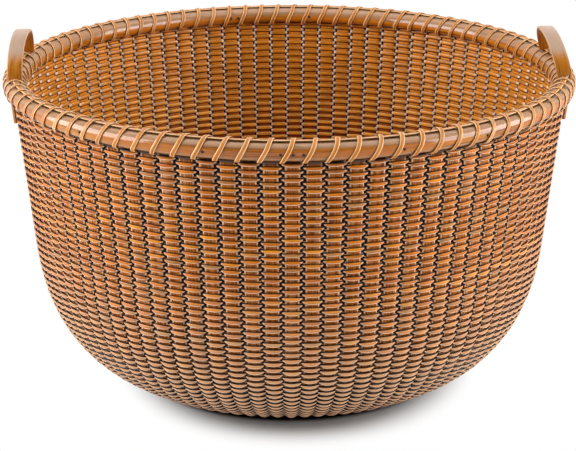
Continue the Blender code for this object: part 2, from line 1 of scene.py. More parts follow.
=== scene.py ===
"""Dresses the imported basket: cane woven over thin staves, a lashed rim, two ear handles, a base.

Lengths are metres and angles are radians unless a name says otherwise. The basket stands at the
origin with +Z up, its front at -Y and its handles at -X and +X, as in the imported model.
"""
import enum
import logging
import math
from dataclasses import dataclass, field
from functools import partial

import bmesh
import bpy
import numpy as np
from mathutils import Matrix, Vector


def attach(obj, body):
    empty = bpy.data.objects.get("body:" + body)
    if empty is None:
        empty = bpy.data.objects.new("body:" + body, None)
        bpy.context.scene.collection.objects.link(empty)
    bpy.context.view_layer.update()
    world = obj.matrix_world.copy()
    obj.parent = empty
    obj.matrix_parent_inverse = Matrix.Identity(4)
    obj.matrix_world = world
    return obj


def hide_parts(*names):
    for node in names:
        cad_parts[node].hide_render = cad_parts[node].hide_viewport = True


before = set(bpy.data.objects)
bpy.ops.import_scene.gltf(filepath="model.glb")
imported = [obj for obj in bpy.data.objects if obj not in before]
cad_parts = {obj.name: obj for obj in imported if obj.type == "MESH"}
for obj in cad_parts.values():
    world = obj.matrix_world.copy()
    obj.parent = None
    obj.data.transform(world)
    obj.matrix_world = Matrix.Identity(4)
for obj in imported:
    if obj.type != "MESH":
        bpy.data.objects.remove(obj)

log = logging.getLogger("basket")
MM = 0.001
QUARTER_TURN = math.pi / 2
Colour = tuple[float, float, float, float]
# From one value to another, and what these two become (0 and 1 where that is left out).
Span = tuple[float, ...]
Socket = bpy.types.NodeSocket
Tree = bpy.types.NodeTree
Material = bpy.types.Material
Piece = bpy.types.Object


def linear(code: str) -> Colour:
    """Turns an sRGB hex value into the linear colour that Blender's sockets take.

    Args:
        code: six hex digits after a hash sign.
    Returns:
        Red, green, blue and an alpha of 1.
    """
    parts = (int(code[place:place + 2], 16) / 255 for place in (1, 3, 5))
    red, green, blue = (
        part / 12.92 if part <= 0.04045 else ((part + 0.055) / 1.055) ** 2.4 for part in parts)
    return red, green, blue, 1.0


class Kind(enum.Enum):
    """Nodes that come up often: the type and the settings of each."""

    PLUS = "ShaderNodeMath", {"operation": "ADD"}
    LESS = "ShaderNodeMath", {"operation": "SUBTRACT"}
    TIMES = "ShaderNodeMath", {"operation": "MULTIPLY"}
    TIMES_PLUS = "ShaderNodeMath", {"operation": "MULTIPLY_ADD"}
    OVER = "ShaderNodeMath", {"operation": "DIVIDE"}
    POWER = "ShaderNodeMath", {"operation": "POWER"}
    LARGER = "ShaderNodeMath", {"operation": "MAXIMUM"}
    SIZE = "ShaderNodeMath", {"operation": "ABSOLUTE"}
    SIGN = "ShaderNodeMath", {"operation": "SIGN"}
    SINE = "ShaderNodeMath", {"operation": "SINE"}
    APART = "ShaderNodeVectorMath", {"operation": "SUBTRACT"}
    STRETCH = "ShaderNodeVectorMath", {"operation": "MULTIPLY"}
    SCALE = "ShaderNodeVectorMath", {"operation": "SCALE"}
    DOT = "ShaderNodeVectorMath", {"operation": "DOT_PRODUCT"}
    LENGTH = "ShaderNodeVectorMath", {"operation": "LENGTH"}
    SPREAD = "ShaderNodeMapRange", {"interpolation_type": "SMOOTHSTEP"}
    BLEND = "ShaderNodeMix", {"data_type": "RGBA", "clamp_factor": True}
    SHADE = "ShaderNodeMix", {"data_type": "RGBA", "clamp_factor": True,
                              "blend_type": "MULTIPLY"}
    CARRIED = "GeometryNodeInputNamedAttribute", {"data_type": "FLOAT"}
    CARRIED_WAY = "GeometryNodeInputNamedAttribute", {"data_type": "FLOAT_VECTOR"}


def add_node(tree: Tree, kind: Kind | str, *values: object, out: str | None = None,
             **settings: object) -> Socket | None:
    """Adds a node with its settings, values and links.

    Args:
        tree: tree that gets the node.
        kind: one of the usual nodes, or Blender's name of the type.
        values: a value, a hex colour or an output for each live input in order, or one dict of
            them by the inputs' names.
        out: name of the output that is wanted, where it isn't the first live one.
        settings: the node's own properties.
    Returns:
        The wanted output, from which the node can be reached, or none where it has no output.
    """
    name, usual = kind.value if isinstance(kind, Kind) else (kind, {})
    node = tree.nodes.new(name)
    for label, value in {**usual, **settings}.items():
        setattr(node, label, value)
    if values and isinstance(values[0], dict):
        pairs = [(node.inputs[label], value) for label, value in values[0].items()]
    else:
        pairs = zip([slot for slot in node.inputs if slot.enabled], values)
    for slot, value in pairs:
        if isinstance(value, Socket):
            tree.links.new(value, slot)
        else:
            slot.default_value = linear(value) if str(value).startswith("#") else value
    return node.outputs[out] if out else next(
        (slot for slot in node.outputs if slot.enabled), None)


class Guide(enum.Enum):
    """Values that a guide line carries along for the sweep and for the materials."""

    FACE_WAY = "face_way"
    SIDE_WAY = "side_way"
    MIDDLE = "middle"
    NARROWING = "narrowing"
    ALONG = "along"
    SWING = "swing"
    TONE = "tone"


Line = dict[Guide, np.ndarray]


def guide_line(points: np.ndarray, faces: np.ndarray, narrowing: np.ndarray | float = 1.0,
               swing: np.ndarray | float = 0.0, tone: np.ndarray | float = 0.0,
               first: float = 0.0) -> Line:
    """Works out all values of one guide line.

    Args:
        points: the line's points.
        faces: for each point, which way the flat of the strip looks.
        narrowing: the strip's width there as a share of its full width.
        swing: 0 where a weaver lies outside a stave and 1 where it lies inside the next one.
        tone: number from which the materials pick a shade.
        first: the length of strip before the line's first point.
    Returns:
        The values by name, one row for each point.
    """
    count = len(points)
    ways = np.gradient(points, axis=0)
    ways /= np.linalg.norm(ways, axis=1, keepdims=True)
    faces = faces - (faces * ways).sum(axis=1, keepdims=True) * ways
    faces /= np.linalg.norm(faces, axis=1, keepdims=True)
    steps = np.linalg.norm(np.diff(points, axis=0), axis=1)
    return {
        Guide.FACE_WAY: faces,
        Guide.SIDE_WAY: np.cross(ways, faces),
        Guide.MIDDLE: points,
        Guide.NARROWING: np.broadcast_to(narrowing, count),
        Guide.ALONG: first + np.concatenate([[0.0], np.cumsum(steps)]),
        Guide.SWING: np.broadcast_to(swing, count),
        Guide.TONE: np.broadcast_to(tone, count),
    }


def link(name: str, mesh: bpy.types.Mesh) -> Piece:
    """Returns a new object with this mesh, linked to the scene."""
    item = bpy.data.objects.new(name, mesh)
    bpy.context.scene.collection.objects.link(item)
    return item


def grow(name: str, lines: list[Line], tree: Tree, values: dict[str, object]) -> Piece:
    """Makes guide lines, runs a Geometry Nodes tree on them and keeps the result as plain mesh.

    Args:
        name: the new piece's name.
        lines: the guide lines.
        tree: the tree to run.
        values: value of each named input of the tree.
    Returns:
        The piece, linked to the scene and without a modifier.
    """
    edges = []
    start = 0
    for line in lines:
        count = len(line[Guide.MIDDLE])
        edges.extend((start + step, start + step + 1) for step in range(count - 1))
        start += count
    guide = bpy.data.meshes.new(name)
    guide.from_pydata(np.concatenate([line[Guide.MIDDLE] for line in lines]).tolist(), edges, [])
    for value in Guide:
        columns = np.concatenate([line[value] for line in lines]).astype(np.float32)
        kind, slot = ("FLOAT_VECTOR", "vector") if columns.ndim == 2 else ("FLOAT", "value")
        guide.attributes.new(value.value, kind, "POINT").data.foreach_set(slot, columns.ravel())
    item = link(name, guide)
    modifier = item.modifiers.new("grow", "NODES")
    modifier.node_group = tree
    for socket in tree.interface.items_tree:
        if socket.in_out == "INPUT" and socket.name in values:
            modifier[socket.identifier] = values[socket.name]
    view = bpy.context.evaluated_depsgraph_get()
    mesh = bpy.data.meshes.new_from_object(item.evaluated_get(view))
    item.modifiers.clear()
    item.data = mesh
    bpy.data.meshes.remove(guide)
    return item


def start_tree(name: str, sockets: dict[str, str]) -> tuple[Tree, bpy.types.bpy_prop_collection]:
    """Starts a Geometry Nodes tree with geometry in and out, the given inputs and a material.

    Args:
        name: the tree's name.
        sockets: type of each further input, by the input's name.
    Returns:
        The tree and the outputs that hand over its inputs.
    """
    tree = bpy.data.node_groups.new(name, "GeometryNodeTree")
    for way in ("INPUT", "OUTPUT"):
        tree.interface.new_socket("Geometry", in_out=way, socket_type="NodeSocketGeometry")
    for label, kind in {**sockets, "Material": "Material"}.items():
        tree.interface.new_socket(label, in_out="INPUT", socket_type=f"NodeSocket{kind}")
    return tree, add_node(tree, "NodeGroupInput").node.outputs


def end_tree(tree: Tree, geometry: Socket, material: Socket) -> None:
    """Ends a tree with smooth shading, real geometry and its material.

    Args:
        tree: the tree to end.
        geometry: what it has made.
        material: the material to set.
    """
    smooth = add_node(tree, "GeometryNodeSetShadeSmooth", geometry)
    solid = add_node(tree, "GeometryNodeRealizeInstances", smooth)
    add_node(tree, "NodeGroupOutput", add_node(tree, "GeometryNodeSetMaterial", {
        "Geometry": solid, "Material": material}))


def sweep_tree() -> Tree:
    """Builds the tree that sweeps a rounded flat strip along guide lines.

    Returns:
        The tree, with the strip's sizes and material as named inputs.
    """
    tree, given = start_tree("strip_along_guides", {
        "Width": "Float", "Thickness": "Float", "Section Points": "Int", "Squareness": "Float"})
    add = partial(add_node, tree)
    section = add("GeometryNodeCurvePrimitiveCircle",
                  {"Resolution": given["Section Points"], "Radius": 1.0})
    place = add("ShaderNodeSeparateXYZ", add("GeometryNodeInputPosition")).node.outputs
    power = add(Kind.OVER, 2.0, given["Squareness"])
    corner = {}
    for label, axis, size in (("side", "X", "Thickness"), ("across", "Y", "Width")):
        bent = add(Kind.POWER, add(Kind.SIZE, place[axis]), power)
        section = add("GeometryNodeStoreNamedAttribute", {
            "Geometry": section, "Name": label,
            "Value": add(Kind.TIMES, bent, add(Kind.SIGN, place[axis]))},
            data_type="FLOAT", domain="POINT")
        corner[axis] = add(Kind.TIMES, add(Kind.CARRIED, label),
                           add(Kind.TIMES, given[size], 0.5))
    outline = add("GeometryNodeSetPosition", {
        "Geometry": section, "Position": add("ShaderNodeCombineXYZ", corner)})
    curve = add("GeometryNodeMeshToCurve", {"Mesh": given["Geometry"]})
    turned = add("GeometryNodeSetCurveNormal", {
        "Curve": curve, "Normal": add(Kind.CARRIED_WAY, Guide.FACE_WAY.value)}, mode="FREE")
    strip = add("GeometryNodeCurveToMesh", {
        "Curve": turned, "Profile Curve": outline, "Fill Caps": True})
    across = add(Kind.CARRIED_WAY, Guide.SIDE_WAY.value)
    arm = add(Kind.APART, add("GeometryNodeInputPosition"),
              add(Kind.CARRIED_WAY, Guide.MIDDLE.value))
    excess = add(Kind.LESS, add(Kind.CARRIED, Guide.NARROWING.value), 1.0)
    shift = add(Kind.TIMES, add(Kind.DOT, arm, across), excess)
    narrowed = add("GeometryNodeSetPosition", {
        "Geometry": strip, "Offset": add(Kind.SCALE, across, shift)})
    end_tree(tree, narrowed, given["Material"])
    return tree


def nail_tree() -> Tree:
    """Builds the tree that sets a domed nail head on each guide point.

    Returns:
        The tree, with the head's sizes and material as named inputs.
    """
    tree, given = start_tree("nail_heads_on_points",
                             {"Head Width": "Float", "Head Height": "Float"})
    add = partial(add_node, tree)
    ball = add("GeometryNodeMeshUVSphere", {"Segments": 14, "Rings": 8, "Radius": 1.0})
    radius = add(Kind.TIMES, given["Head Width"], 0.5)
    heads = add("GeometryNodeInstanceOnPoints", {
        "Points": given["Geometry"], "Instance": ball,
        "Rotation": add("FunctionNodeAlignRotationToVector", {
            "Vector": add(Kind.CARRIED_WAY, Guide.FACE_WAY.value)}, axis="Z"),
        "Scale": add("ShaderNodeCombineXYZ", radius, radius, given["Head Height"])})
    end_tree(tree, heads, given["Material"])
    return tree


@dataclass(frozen=True)
class Strip:
    """Section of a rounded flat strip."""

    width: float
    thickness: float
    points: int
    squareness: float

    def sweep(self, name: str, lines: list[Line], tree: Tree, material: Material) -> Piece:
        """Sweeps the strip along guide lines.

        Args:
            name: the new piece's name.
            lines: the guide lines.
            tree: the sweep's tree.
            material: the piece's material.
        Returns:
            The piece.
        """
        return grow(name, lines, tree, {
            "Width": self.width, "Thickness": self.thickness, "Section Points": self.points,
            "Squareness": self.squareness, "Material": material})


def settle(piece: Piece, slot: str, *nodes: str) -> None:
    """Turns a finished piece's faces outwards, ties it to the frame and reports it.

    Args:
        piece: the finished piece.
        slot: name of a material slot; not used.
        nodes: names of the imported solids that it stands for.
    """
    solid = bmesh.new()
    solid.from_mesh(piece.data)
    if solid.calc_volume(signed=True) < 0:
        piece.data.flip_normals()
    solid.free()
    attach(piece, "root")
    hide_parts(*nodes)
    piece.data.calc_loop_triangles()
    log.info("%s: %d triangles, stands for %d solids", piece.name,
             len(piece.data.loop_triangles), len(nodes))


@dataclass(frozen=True)
class BasketForm:
    """Lines that all pieces share: the wall's curve, the staves' places and the rim's height."""

    stave_count: int = 91
    front_azimuth: float = math.radians(-89.4)
    hoop_bottom: float = 236.5 * MM
    hoop_height: float = 14.0 * MM
    rim_stave_radius: float = 216.526 * MM
    flare_share: float = 0.1
    plate_radius: float = 100.0 * MM
    foot_radius: float = 94.0 * MM
    groove_middle: float = 6.5 * MM
    turn_foot_radius: float = 101.7 * MM
    turn_height: float = 111.0 * MM
    turn_power: float = 2.5
    stave_gap_top: float = 4.0 * MM
    stave_gap_foot: float = 1.1 * MM
    curve_steps: int = 360
    straight_steps: int = 40

    @property
    def pitch_angle(self) -> float:
        """Angle from one stave to the next."""
        return 2 * math.pi / self.stave_count

    def flare_radius(self, height: np.ndarray | float) -> np.ndarray | float:
        """Radius of the staves' middle on the line of the straight wall."""
        rise = height - self.hoop_bottom - self.hoop_height / 2
        return self.rim_stave_radius + self.flare_share * rise

    def stave_azimuth(self, index: np.ndarray | float) -> np.ndarray | float:
        """Azimuth of a stave's middle."""
        return self.front_azimuth + index * self.pitch_angle

    def gap_azimuth(self, index: np.ndarray | float) -> np.ndarray | float:
        """Azimuth of the gap before a stave."""
        return self.stave_azimuth(index) - self.pitch_angle / 2

    def stave_width(self, radius: np.ndarray) -> np.ndarray:
        """Width of a tapered stave where its middle lies at this radius."""
        share = (radius - self.turn_foot_radius) / (self.rim_stave_radius - self.turn_foot_radius)
        gap = self.stave_gap_foot + share * (self.stave_gap_top - self.stave_gap_foot)
        return 2 * radius * math.tan(self.pitch_angle / 2) - gap

    def wall_curve(self) -> np.ndarray:
        """Works out the staves' middle line from foot to tip.

        Returns:
            Rows of length from the foot, radius, height, and the outward normal's two parts.
        """
        angle = np.linspace(0, QUARTER_TURN, self.curve_steps)
        share = 2 / self.turn_power
        height = self.groove_middle + self.turn_height * (1 - np.cos(angle) ** share)
        reach = self.flare_radius(height) - self.turn_foot_radius
        radius = self.turn_foot_radius + reach * np.sin(angle) ** share
        top = np.linspace(height[-1], self.hoop_bottom + self.hoop_height,
                          self.straight_steps)[1:]
        line = np.concatenate([
            [[self.foot_radius, self.groove_middle]],
            np.column_stack([radius, height]),
            np.column_stack([self.flare_radius(top), top])])
        lengths = np.concatenate([[0.0], np.cumsum(np.linalg.norm(np.diff(line, axis=0), axis=1))])
        even = np.linspace(0, lengths[-1], self.curve_steps)
        smooth = np.column_stack([np.interp(even, lengths, column) for column in line.T])
        runs = np.gradient(smooth, axis=0)
        runs /= np.linalg.norm(runs, axis=1, keepdims=True)
        return np.column_stack([even, smooth, runs[:, 1], -runs[:, 0]])

    def rim_point(self, offset: np.ndarray | float, rise: np.ndarray | float,
                  azimuth: np.ndarray | float) -> np.ndarray:
        """Places points of the rim.

        Args:
            offset: distance outwards from the staves' middle.
            rise: height above the hoops' underside.
            azimuth: angle round the basket.
        Returns:
            The points as rows of X, Y and Z.
        """
        height = self.hoop_bottom + rise
        return around(azimuth, self.flare_radius(height) + offset, height)


def around(azimuth: np.ndarray | float, outward: np.ndarray | float,
           upward: np.ndarray | float) -> np.ndarray:
    """Turns level and upright parts into rows of X, Y and Z at each azimuth."""
    parts = np.broadcast_arrays(outward * np.cos(azimuth), outward * np.sin(azimuth), upward)
    return np.stack(parts, axis=-1)


def start_material(name: str, values: dict[str, object]) -> Material:
    """Starts a material with the values that its shader has all over.

    Args:
        name: the material's name.
        values: value of each input of the shader that is set, by the input's name.
    Returns:
        The material, still without colour and relief.
    """
    material = bpy.data.materials.new(name)
    material.use_nodes = True
    for label, value in values.items():
        material.node_tree.nodes["Principled BSDF"].inputs[label].default_value = value
    return material


def end_material(material: Material, links: dict[str, Socket], relief: Socket | None = None,
                 depth: float = 0.0, strength: float = 0.5) -> Material:
    """Links a material's shader to what was worked out for it.

    Args:
        material: the started material.
        links: the output that feeds each input of the shader, by the input's name.
        relief: height of the surface, from 0 to 1.
        depth: the relief's real depth in metres.
        strength: how much of the relief shows.
    Returns:
        The same material.
    """
    tree = material.node_tree
    if relief:
        links = {**links, "Normal": add_node(tree, "ShaderNodeBump", {
            "Height": relief, "Distance": depth, "Strength": strength})}
    for label, value in links.items():
        tree.links.new(value, tree.nodes["Principled BSDF"].inputs[label])
    return material


class Marks:
    """What a material reads on a strip: the strip's own values and the height in the basket."""

    def __init__(self, tree: Tree) -> None:
        """Adds the nodes that read the values.

        Args:
            tree: the material's tree.
        """
        self.add = partial(add_node, tree)
        self.along, self.across, self.side = (
            self.add("ShaderNodeAttribute", attribute_name=name, out="Fac")
            for name in (Guide.ALONG.value, "across", "side"))
        self.height = self.add("ShaderNodeSeparateXYZ",
                               self.add("ShaderNodeTexCoord", out="Object"), out="Z")

    def fibres(self, lengthwise: float, crosswise: float, seed: Socket | float,
               detail: float = 2.0) -> Socket:
        """Draws fibres that run along the strip.

        Args:
            lengthwise: cycles of the pattern in a metre of strip.
            crosswise: cycles of the pattern across one unit of the cross place.
            seed: number that makes one strip differ from the next.
            detail: how many finer layers the pattern has.
        Returns:
            A value from 0 to 1.
        """
        place = self.add("ShaderNodeCombineXYZ", self.add(Kind.TIMES, self.along, lengthwise),
                         self.add(Kind.TIMES, self.across, crosswise), seed)
        return self.add("ShaderNodeTexNoise", {
            "Vector": place, "Scale": 1.0, "Detail": detail, "Roughness": 0.55})


@dataclass(frozen=True)
class Varnish:
    """Old varnish over wood and cane: weak gloss, and a pale bloom where a surface turns away."""

    roughness: float = 0.4
    specular: float = 0.15
    coat: float = 0.08
    coat_roughness: float = 0.2
    bloom: float = 0.35
    bloom_roughness: float = 0.35
    bloom_colour: str = "#ffe3d2"

    def start(self, name: str) -> Material:
        """Starts a varnished material with this name."""
        return start_material(name, {
            "Roughness": self.roughness, "Specular IOR Level": self.specular,
            "Coat Weight": self.coat, "Coat Roughness": self.coat_roughness,
            "Sheen Weight": self.bloom, "Sheen Roughness": self.bloom_roughness,
            "Sheen Tint": linear(self.bloom_colour)})


@dataclass(frozen=True)
class CaneFinish:
    """Peeled rattan cane under old varnish: orange-brown strokes that differ length by length,
    with painted highlights on edges and tips, painted shade where a strip dives behind its
    neighbours and under the hoops, and painted light low inside and low outside."""

    name: str = "varnished_rattan_cane"
    varnish: Varnish = Varnish(roughness=0.42, specular=0.18, coat=0.0, coat_roughness=0.26,
                               bloom=0.12)
    common: str = "#ae600b"
    golden: str = "#c07a14"
    russet: str = "#994a0a"
    greyed: str = "#8a6842"
    golden_span: Span = (0.48, 0.7, 0.0, 0.7)
    russet_span: Span = (0.46, 0.26, 0.0, 0.8)
    greyed_span: Span = (0.6, 0.76, 0.0, 0.6)
    # A length of cane keeps its shade for about a metre, and greys over about 0.7 m.
    batch_cycles: float = 0.9
    greyed_cycles: float = 1.4
    greyed_seed: float = 40.0
    # Real fibres are 0.2 mm wide, too fine for the picture, so they are drawn 0.8 mm wide.
    fibre_cycles: float = 2.0
    fibre_length: float = 90.0
    fibre_span: Span = (0.3, 0.7, 0.66, 1.16)
    fibre_depth: float = 0.06 * MM
    fibre_strength: float = 0.6
    stroke_shade: Span = (0.3, -0.15)
    inside_span: Span = (0.15, -0.15)
    inner: str = "#ca801c"
    # Painted light: inside, the cane is painted brighter lower down, standing in for light that
    # reaches the deep inside.
    painted_deep_light: str = "#ffb444"
    painted_deep_light_span: Span = (205.0 * MM, 120.0 * MM)
    inner_share: float = 0.8
    inner_gloss: float = 0.45
    # Painted light: the outside is painted paler and greyer towards the bottom, standing in for
    # light reflected up from the white floor.
    painted_floor_light: str = "#c09a78"
    painted_floor_light_span: Span = (170.0 * MM, 30.0 * MM, 0.0, 0.65)
    # A stroke shows as a lens: its half width shrinks to nothing where it dives.
    facing_span: Span = (-0.4, 0.4, -1.0, 1.0)
    tip_reach: float = 0.585
    tip_powers: Span = (2.9, 8.0)
    lens_width: float = 1.1
    least_width: float = 0.01
    # Painted highlights: the lower edge of each outside stroke and the ends of the strokes are
    # painted pale, standing in for reflections of the white surroundings; inside, the ends get a
    # paler painted highlight that differs from stroke to stroke.
    pale_wear_and_highlight: str = "#ffe0c4"
    inner_painted_highlight: str = "#fff0de"
    edge_span: Span = (0.45, 0.76)
    tip_span: Span = (0.34, 0.48)
    tip_highlight: float = 0.5
    stroke_highlight: Span = (0.8, -0.15)
    # Painted shadow: a dark line under each stroke inside the basket.
    shade_line: str = "#440a10"
    line_span: Span = (0.36, 0.7, 0.0, 0.92)
    # Painted shade: near-black where a strip dives behind a stave or under its neighbours.
    painted_crevice_shade: str = "#080302"
    beside_span: Span = (-0.38, -0.16)
    beside_inner: float = -0.08
    dive_span: Span = (0.44, 0.5)
    dive_inner: float = -0.03
    # Painted shadow: darker just under the hoops, starting 2 mm higher on the inside.
    under_hoop_shade_span: Span = (233.6 * MM, 235.2 * MM, 0.0, 0.9)
    under_hoop_shade_drop: float = -2.0 * MM

    def build(self) -> Material:
        """Builds the material from the strip's own values.

        Returns:
            The material.
        """
        material = self.varnish.start(self.name)
        marks = Marks(material.node_tree)
        add, across, height = marks.add, marks.across, marks.height
        tone, swing = (add("ShaderNodeAttribute", attribute_name=guide.value, out="Fac")
                       for guide in (Guide.TONE, Guide.SWING))
        inside = add(Kind.SPREAD, marks.side, *self.inside_span)
        outside = add(Kind.LESS, 1.0, inside)

        # Shades that differ from length to length, from stroke to stroke and in the fibres
        batch, grey = (
            add("ShaderNodeTexNoise", {"W": place, "Scale": 1.0, "Detail": detail},
                noise_dimensions="1D")
            for place, detail in (
                (add(Kind.TIMES, marks.along, self.batch_cycles), 2.0),
                (add(Kind.TIMES_PLUS, marks.along, self.greyed_cycles, self.greyed_seed), 1.0)))
        stroke = add("ShaderNodeTexWhiteNoise", {"W": tone}, noise_dimensions="1D")
        fibres = marks.fibres(self.fibre_length, self.fibre_cycles, tone)
        colour = self.common
        for value, span, layer in ((batch, self.golden_span, self.golden),
                                   (batch, self.russet_span, self.russet),
                                   (grey, self.greyed_span, self.greyed)):
            colour = add(Kind.BLEND, add(Kind.SPREAD, value, *span), colour, layer)
        # Painted light: the inside colour grows brighter lower down.
        inner = add(Kind.BLEND, add(Kind.SPREAD, height, *self.painted_deep_light_span), self.inner,
                    self.painted_deep_light)
        colour = add(Kind.BLEND, add(Kind.TIMES, inside, self.inner_share), colour, inner)
        shade = add(Kind.PLUS, add(Kind.SPREAD, fibres, *self.fibre_span),
                    add(Kind.TIMES_PLUS, stroke, *self.stroke_shade))
        colour = add(Kind.SHADE, 1.0, colour, shade)

        # The visible lens of a stroke, from its middle to where it dives
        away = add(Kind.TIMES_PLUS, add(Kind.LESS, swing, 0.5),
                   add(Kind.SPREAD, marks.side, *self.facing_span), 0.5)
        narrow = add(Kind.POWER, add(Kind.OVER, away, self.tip_reach),
                     add(Kind.SPREAD, inside, 0.0, 1.0, *self.tip_powers))
        half = add(Kind.LARGER, self.least_width,
                   add(Kind.TIMES_PLUS, narrow, -self.lens_width, self.lens_width))

        # Painted floor light, painted highlights, a painted shadow line and painted shade over one
        # another
        # Painted light from the floor, on the outside towards the bottom.
        low = add(Kind.TIMES, outside, add(Kind.SPREAD, height, *self.painted_floor_light_span))
        # Painted highlight along the lower edge of each outside stroke.
        edge = add(Kind.TIMES, outside, add(
            Kind.SPREAD, add(Kind.OVER, across, half), *self.edge_span))
        # Painted highlight at the ends of each stroke, varied from stroke to stroke inside.
        highlight_strength = add(Kind.TIMES_PLUS, inside, add(Kind.TIMES_PLUS, stroke, *self.stroke_highlight),
                   self.tip_highlight)
        tip = add(Kind.TIMES, highlight_strength, add(Kind.SPREAD, away, *self.tip_span))
        # Painted shadow line under each inside stroke.
        line = add(Kind.TIMES, inside, add(Kind.SPREAD, across, *self.line_span))
        # Painted shade where the strip dives: beside its lens and at its ends.
        beside = add(Kind.TIMES_PLUS, inside, self.beside_inner,
                     add(Kind.LESS, add(Kind.SIZE, across), half))
        painted_shade_share = add(Kind.LARGER, add(Kind.SPREAD, beside, *self.beside_span),
                     add(Kind.SPREAD, add(Kind.TIMES_PLUS, inside, self.dive_inner, away),
                         *self.dive_span))
        # Painted shadow under the hoops joins the painted shade.
        painted_shade_share = add(Kind.LARGER, painted_shade_share, add(Kind.SPREAD, add(
            Kind.TIMES_PLUS, inside, self.under_hoop_shade_drop, height), *self.under_hoop_shade_span))
        for share, layer in (
                (low, self.painted_floor_light),
                (add(Kind.LARGER, edge, tip),
                 add(Kind.BLEND, inside, self.pale_wear_and_highlight, self.inner_painted_highlight)),
                (line, self.shade_line), (painted_shade_share, self.painted_crevice_shade)):
            colour = add(Kind.BLEND, share, colour, layer)
        gloss = add(Kind.TIMES, add(Kind.TIMES, inside, self.inner_gloss),
                    add(Kind.LESS, 1.0, painted_shade_share))
        return end_material(material, {"Base Color": colour, "Coat Weight": gloss}, fibres,
                            self.fibre_depth, self.fibre_strength)


@dataclass(frozen=True)
class StaveFinish:
    """Split oak under the same varnish: brown face with fine dark grain lines up the stave, paler
    worn patches, painted highlights on its rounded sides, painted shade under the hoop and towards
    the foot, and a plainer, brighter face inside the basket, painted dark red as shade lower down."""

    name: str = "split_oak_stave"
    varnish: Varnish = Varnish(specular=0.22)
    face: str = "#a65a0c"
    inner: str = "#ec8a10"
    inside_span: Span = (0.1, -0.1)
    # Oak's pores are 0.3 mm apart; the lines are drawn 1.2 mm apart so that they show.
    grain: str = "#521f04"
    grain_cycles: float = 4.5
    grain_length: float = 22.0
    grain_span: Span = (0.56, 0.42)
    grain_shares: Span = (0.75, 0.15)
    grain_depth: float = 0.08 * MM
    grain_strength: float = 0.6
    # Paler worn patches, and painted highlights on the rounded sides of the outside face.
    pale_wear_and_highlight: str = "#dcae86"
    broad_cycles: float = 0.8
    broad_length: float = 9.0
    broad_span: Span = (0.5, 0.8, 0.0, 0.35)
    edge_span: Span = (0.7, 0.84, 0.0, 0.85)
    edge_face_span: Span = (0.2, 0.6)
    # Painted shade: the outside of the staves is darkened just under the hoop and towards the
    # foot.
    painted_stave_shade: str = "#1c0b03"
    under_hoop_shade_span: Span = (232.8 * MM, 235.0 * MM, 0.0, 0.85)
    foot_shade_span: Span = (130.0 * MM, 60.0 * MM, 0.0, 0.35)
    # Painted shade: the inside of the staves turns dark red lower down, where the deep inside is
    # in shadow.
    inner_shade: str = "#94241c"
    inner_shade_span: Span = (176.0 * MM, 135.0 * MM, 0.0, 0.75)

    def build(self) -> Material:
        """Builds the material from the stave's own values.

        Returns:
            The material.
        """
        material = self.varnish.start(self.name)
        marks = Marks(material.node_tree)
        add, height = marks.add, marks.height
        tone = add("ShaderNodeAttribute", attribute_name=Guide.TONE.value, out="Fac")
        grain = marks.fibres(self.grain_length, self.grain_cycles, tone)
        broad = marks.fibres(self.broad_length, self.broad_cycles, tone, 1.0)
        inside = add(Kind.SPREAD, marks.side, *self.inside_span)
        depth = add(Kind.TIMES, add(Kind.SPREAD, grain, *self.grain_span),
                    add(Kind.SPREAD, inside, 0.0, 1.0, *self.grain_shares))
        # Painted highlight along the rounded sides.
        edge = add(Kind.TIMES, add(Kind.SPREAD, add(Kind.SIZE, marks.across), *self.edge_span),
                   add(Kind.SPREAD, marks.side, *self.edge_face_span))
        # Painted shade under the hoop and towards the foot, outside only.
        painted_stave_shade = add(Kind.LARGER, add(Kind.SPREAD, height, *self.under_hoop_shade_span),
                   add(Kind.SPREAD, height, *self.foot_shade_span))
        # Painted shade lower down inside.
        shaded = add(Kind.SPREAD, height, *self.inner_shade_span)
        colour = self.face
        for share, layer in (
                (inside, self.inner), (depth, self.grain),
                (add(Kind.SPREAD, broad, *self.broad_span), self.pale_wear_and_highlight), (edge, self.pale_wear_and_highlight),
                (add(Kind.TIMES, painted_stave_shade, add(Kind.LESS, 1.0, inside)), self.painted_stave_shade),
                (add(Kind.TIMES, shaded, inside), self.inner_shade)):
            colour = add(Kind.BLEND, share, colour, layer)
        return end_material(material, {"Base Color": colour}, grain, self.grain_depth,
                            self.grain_strength)


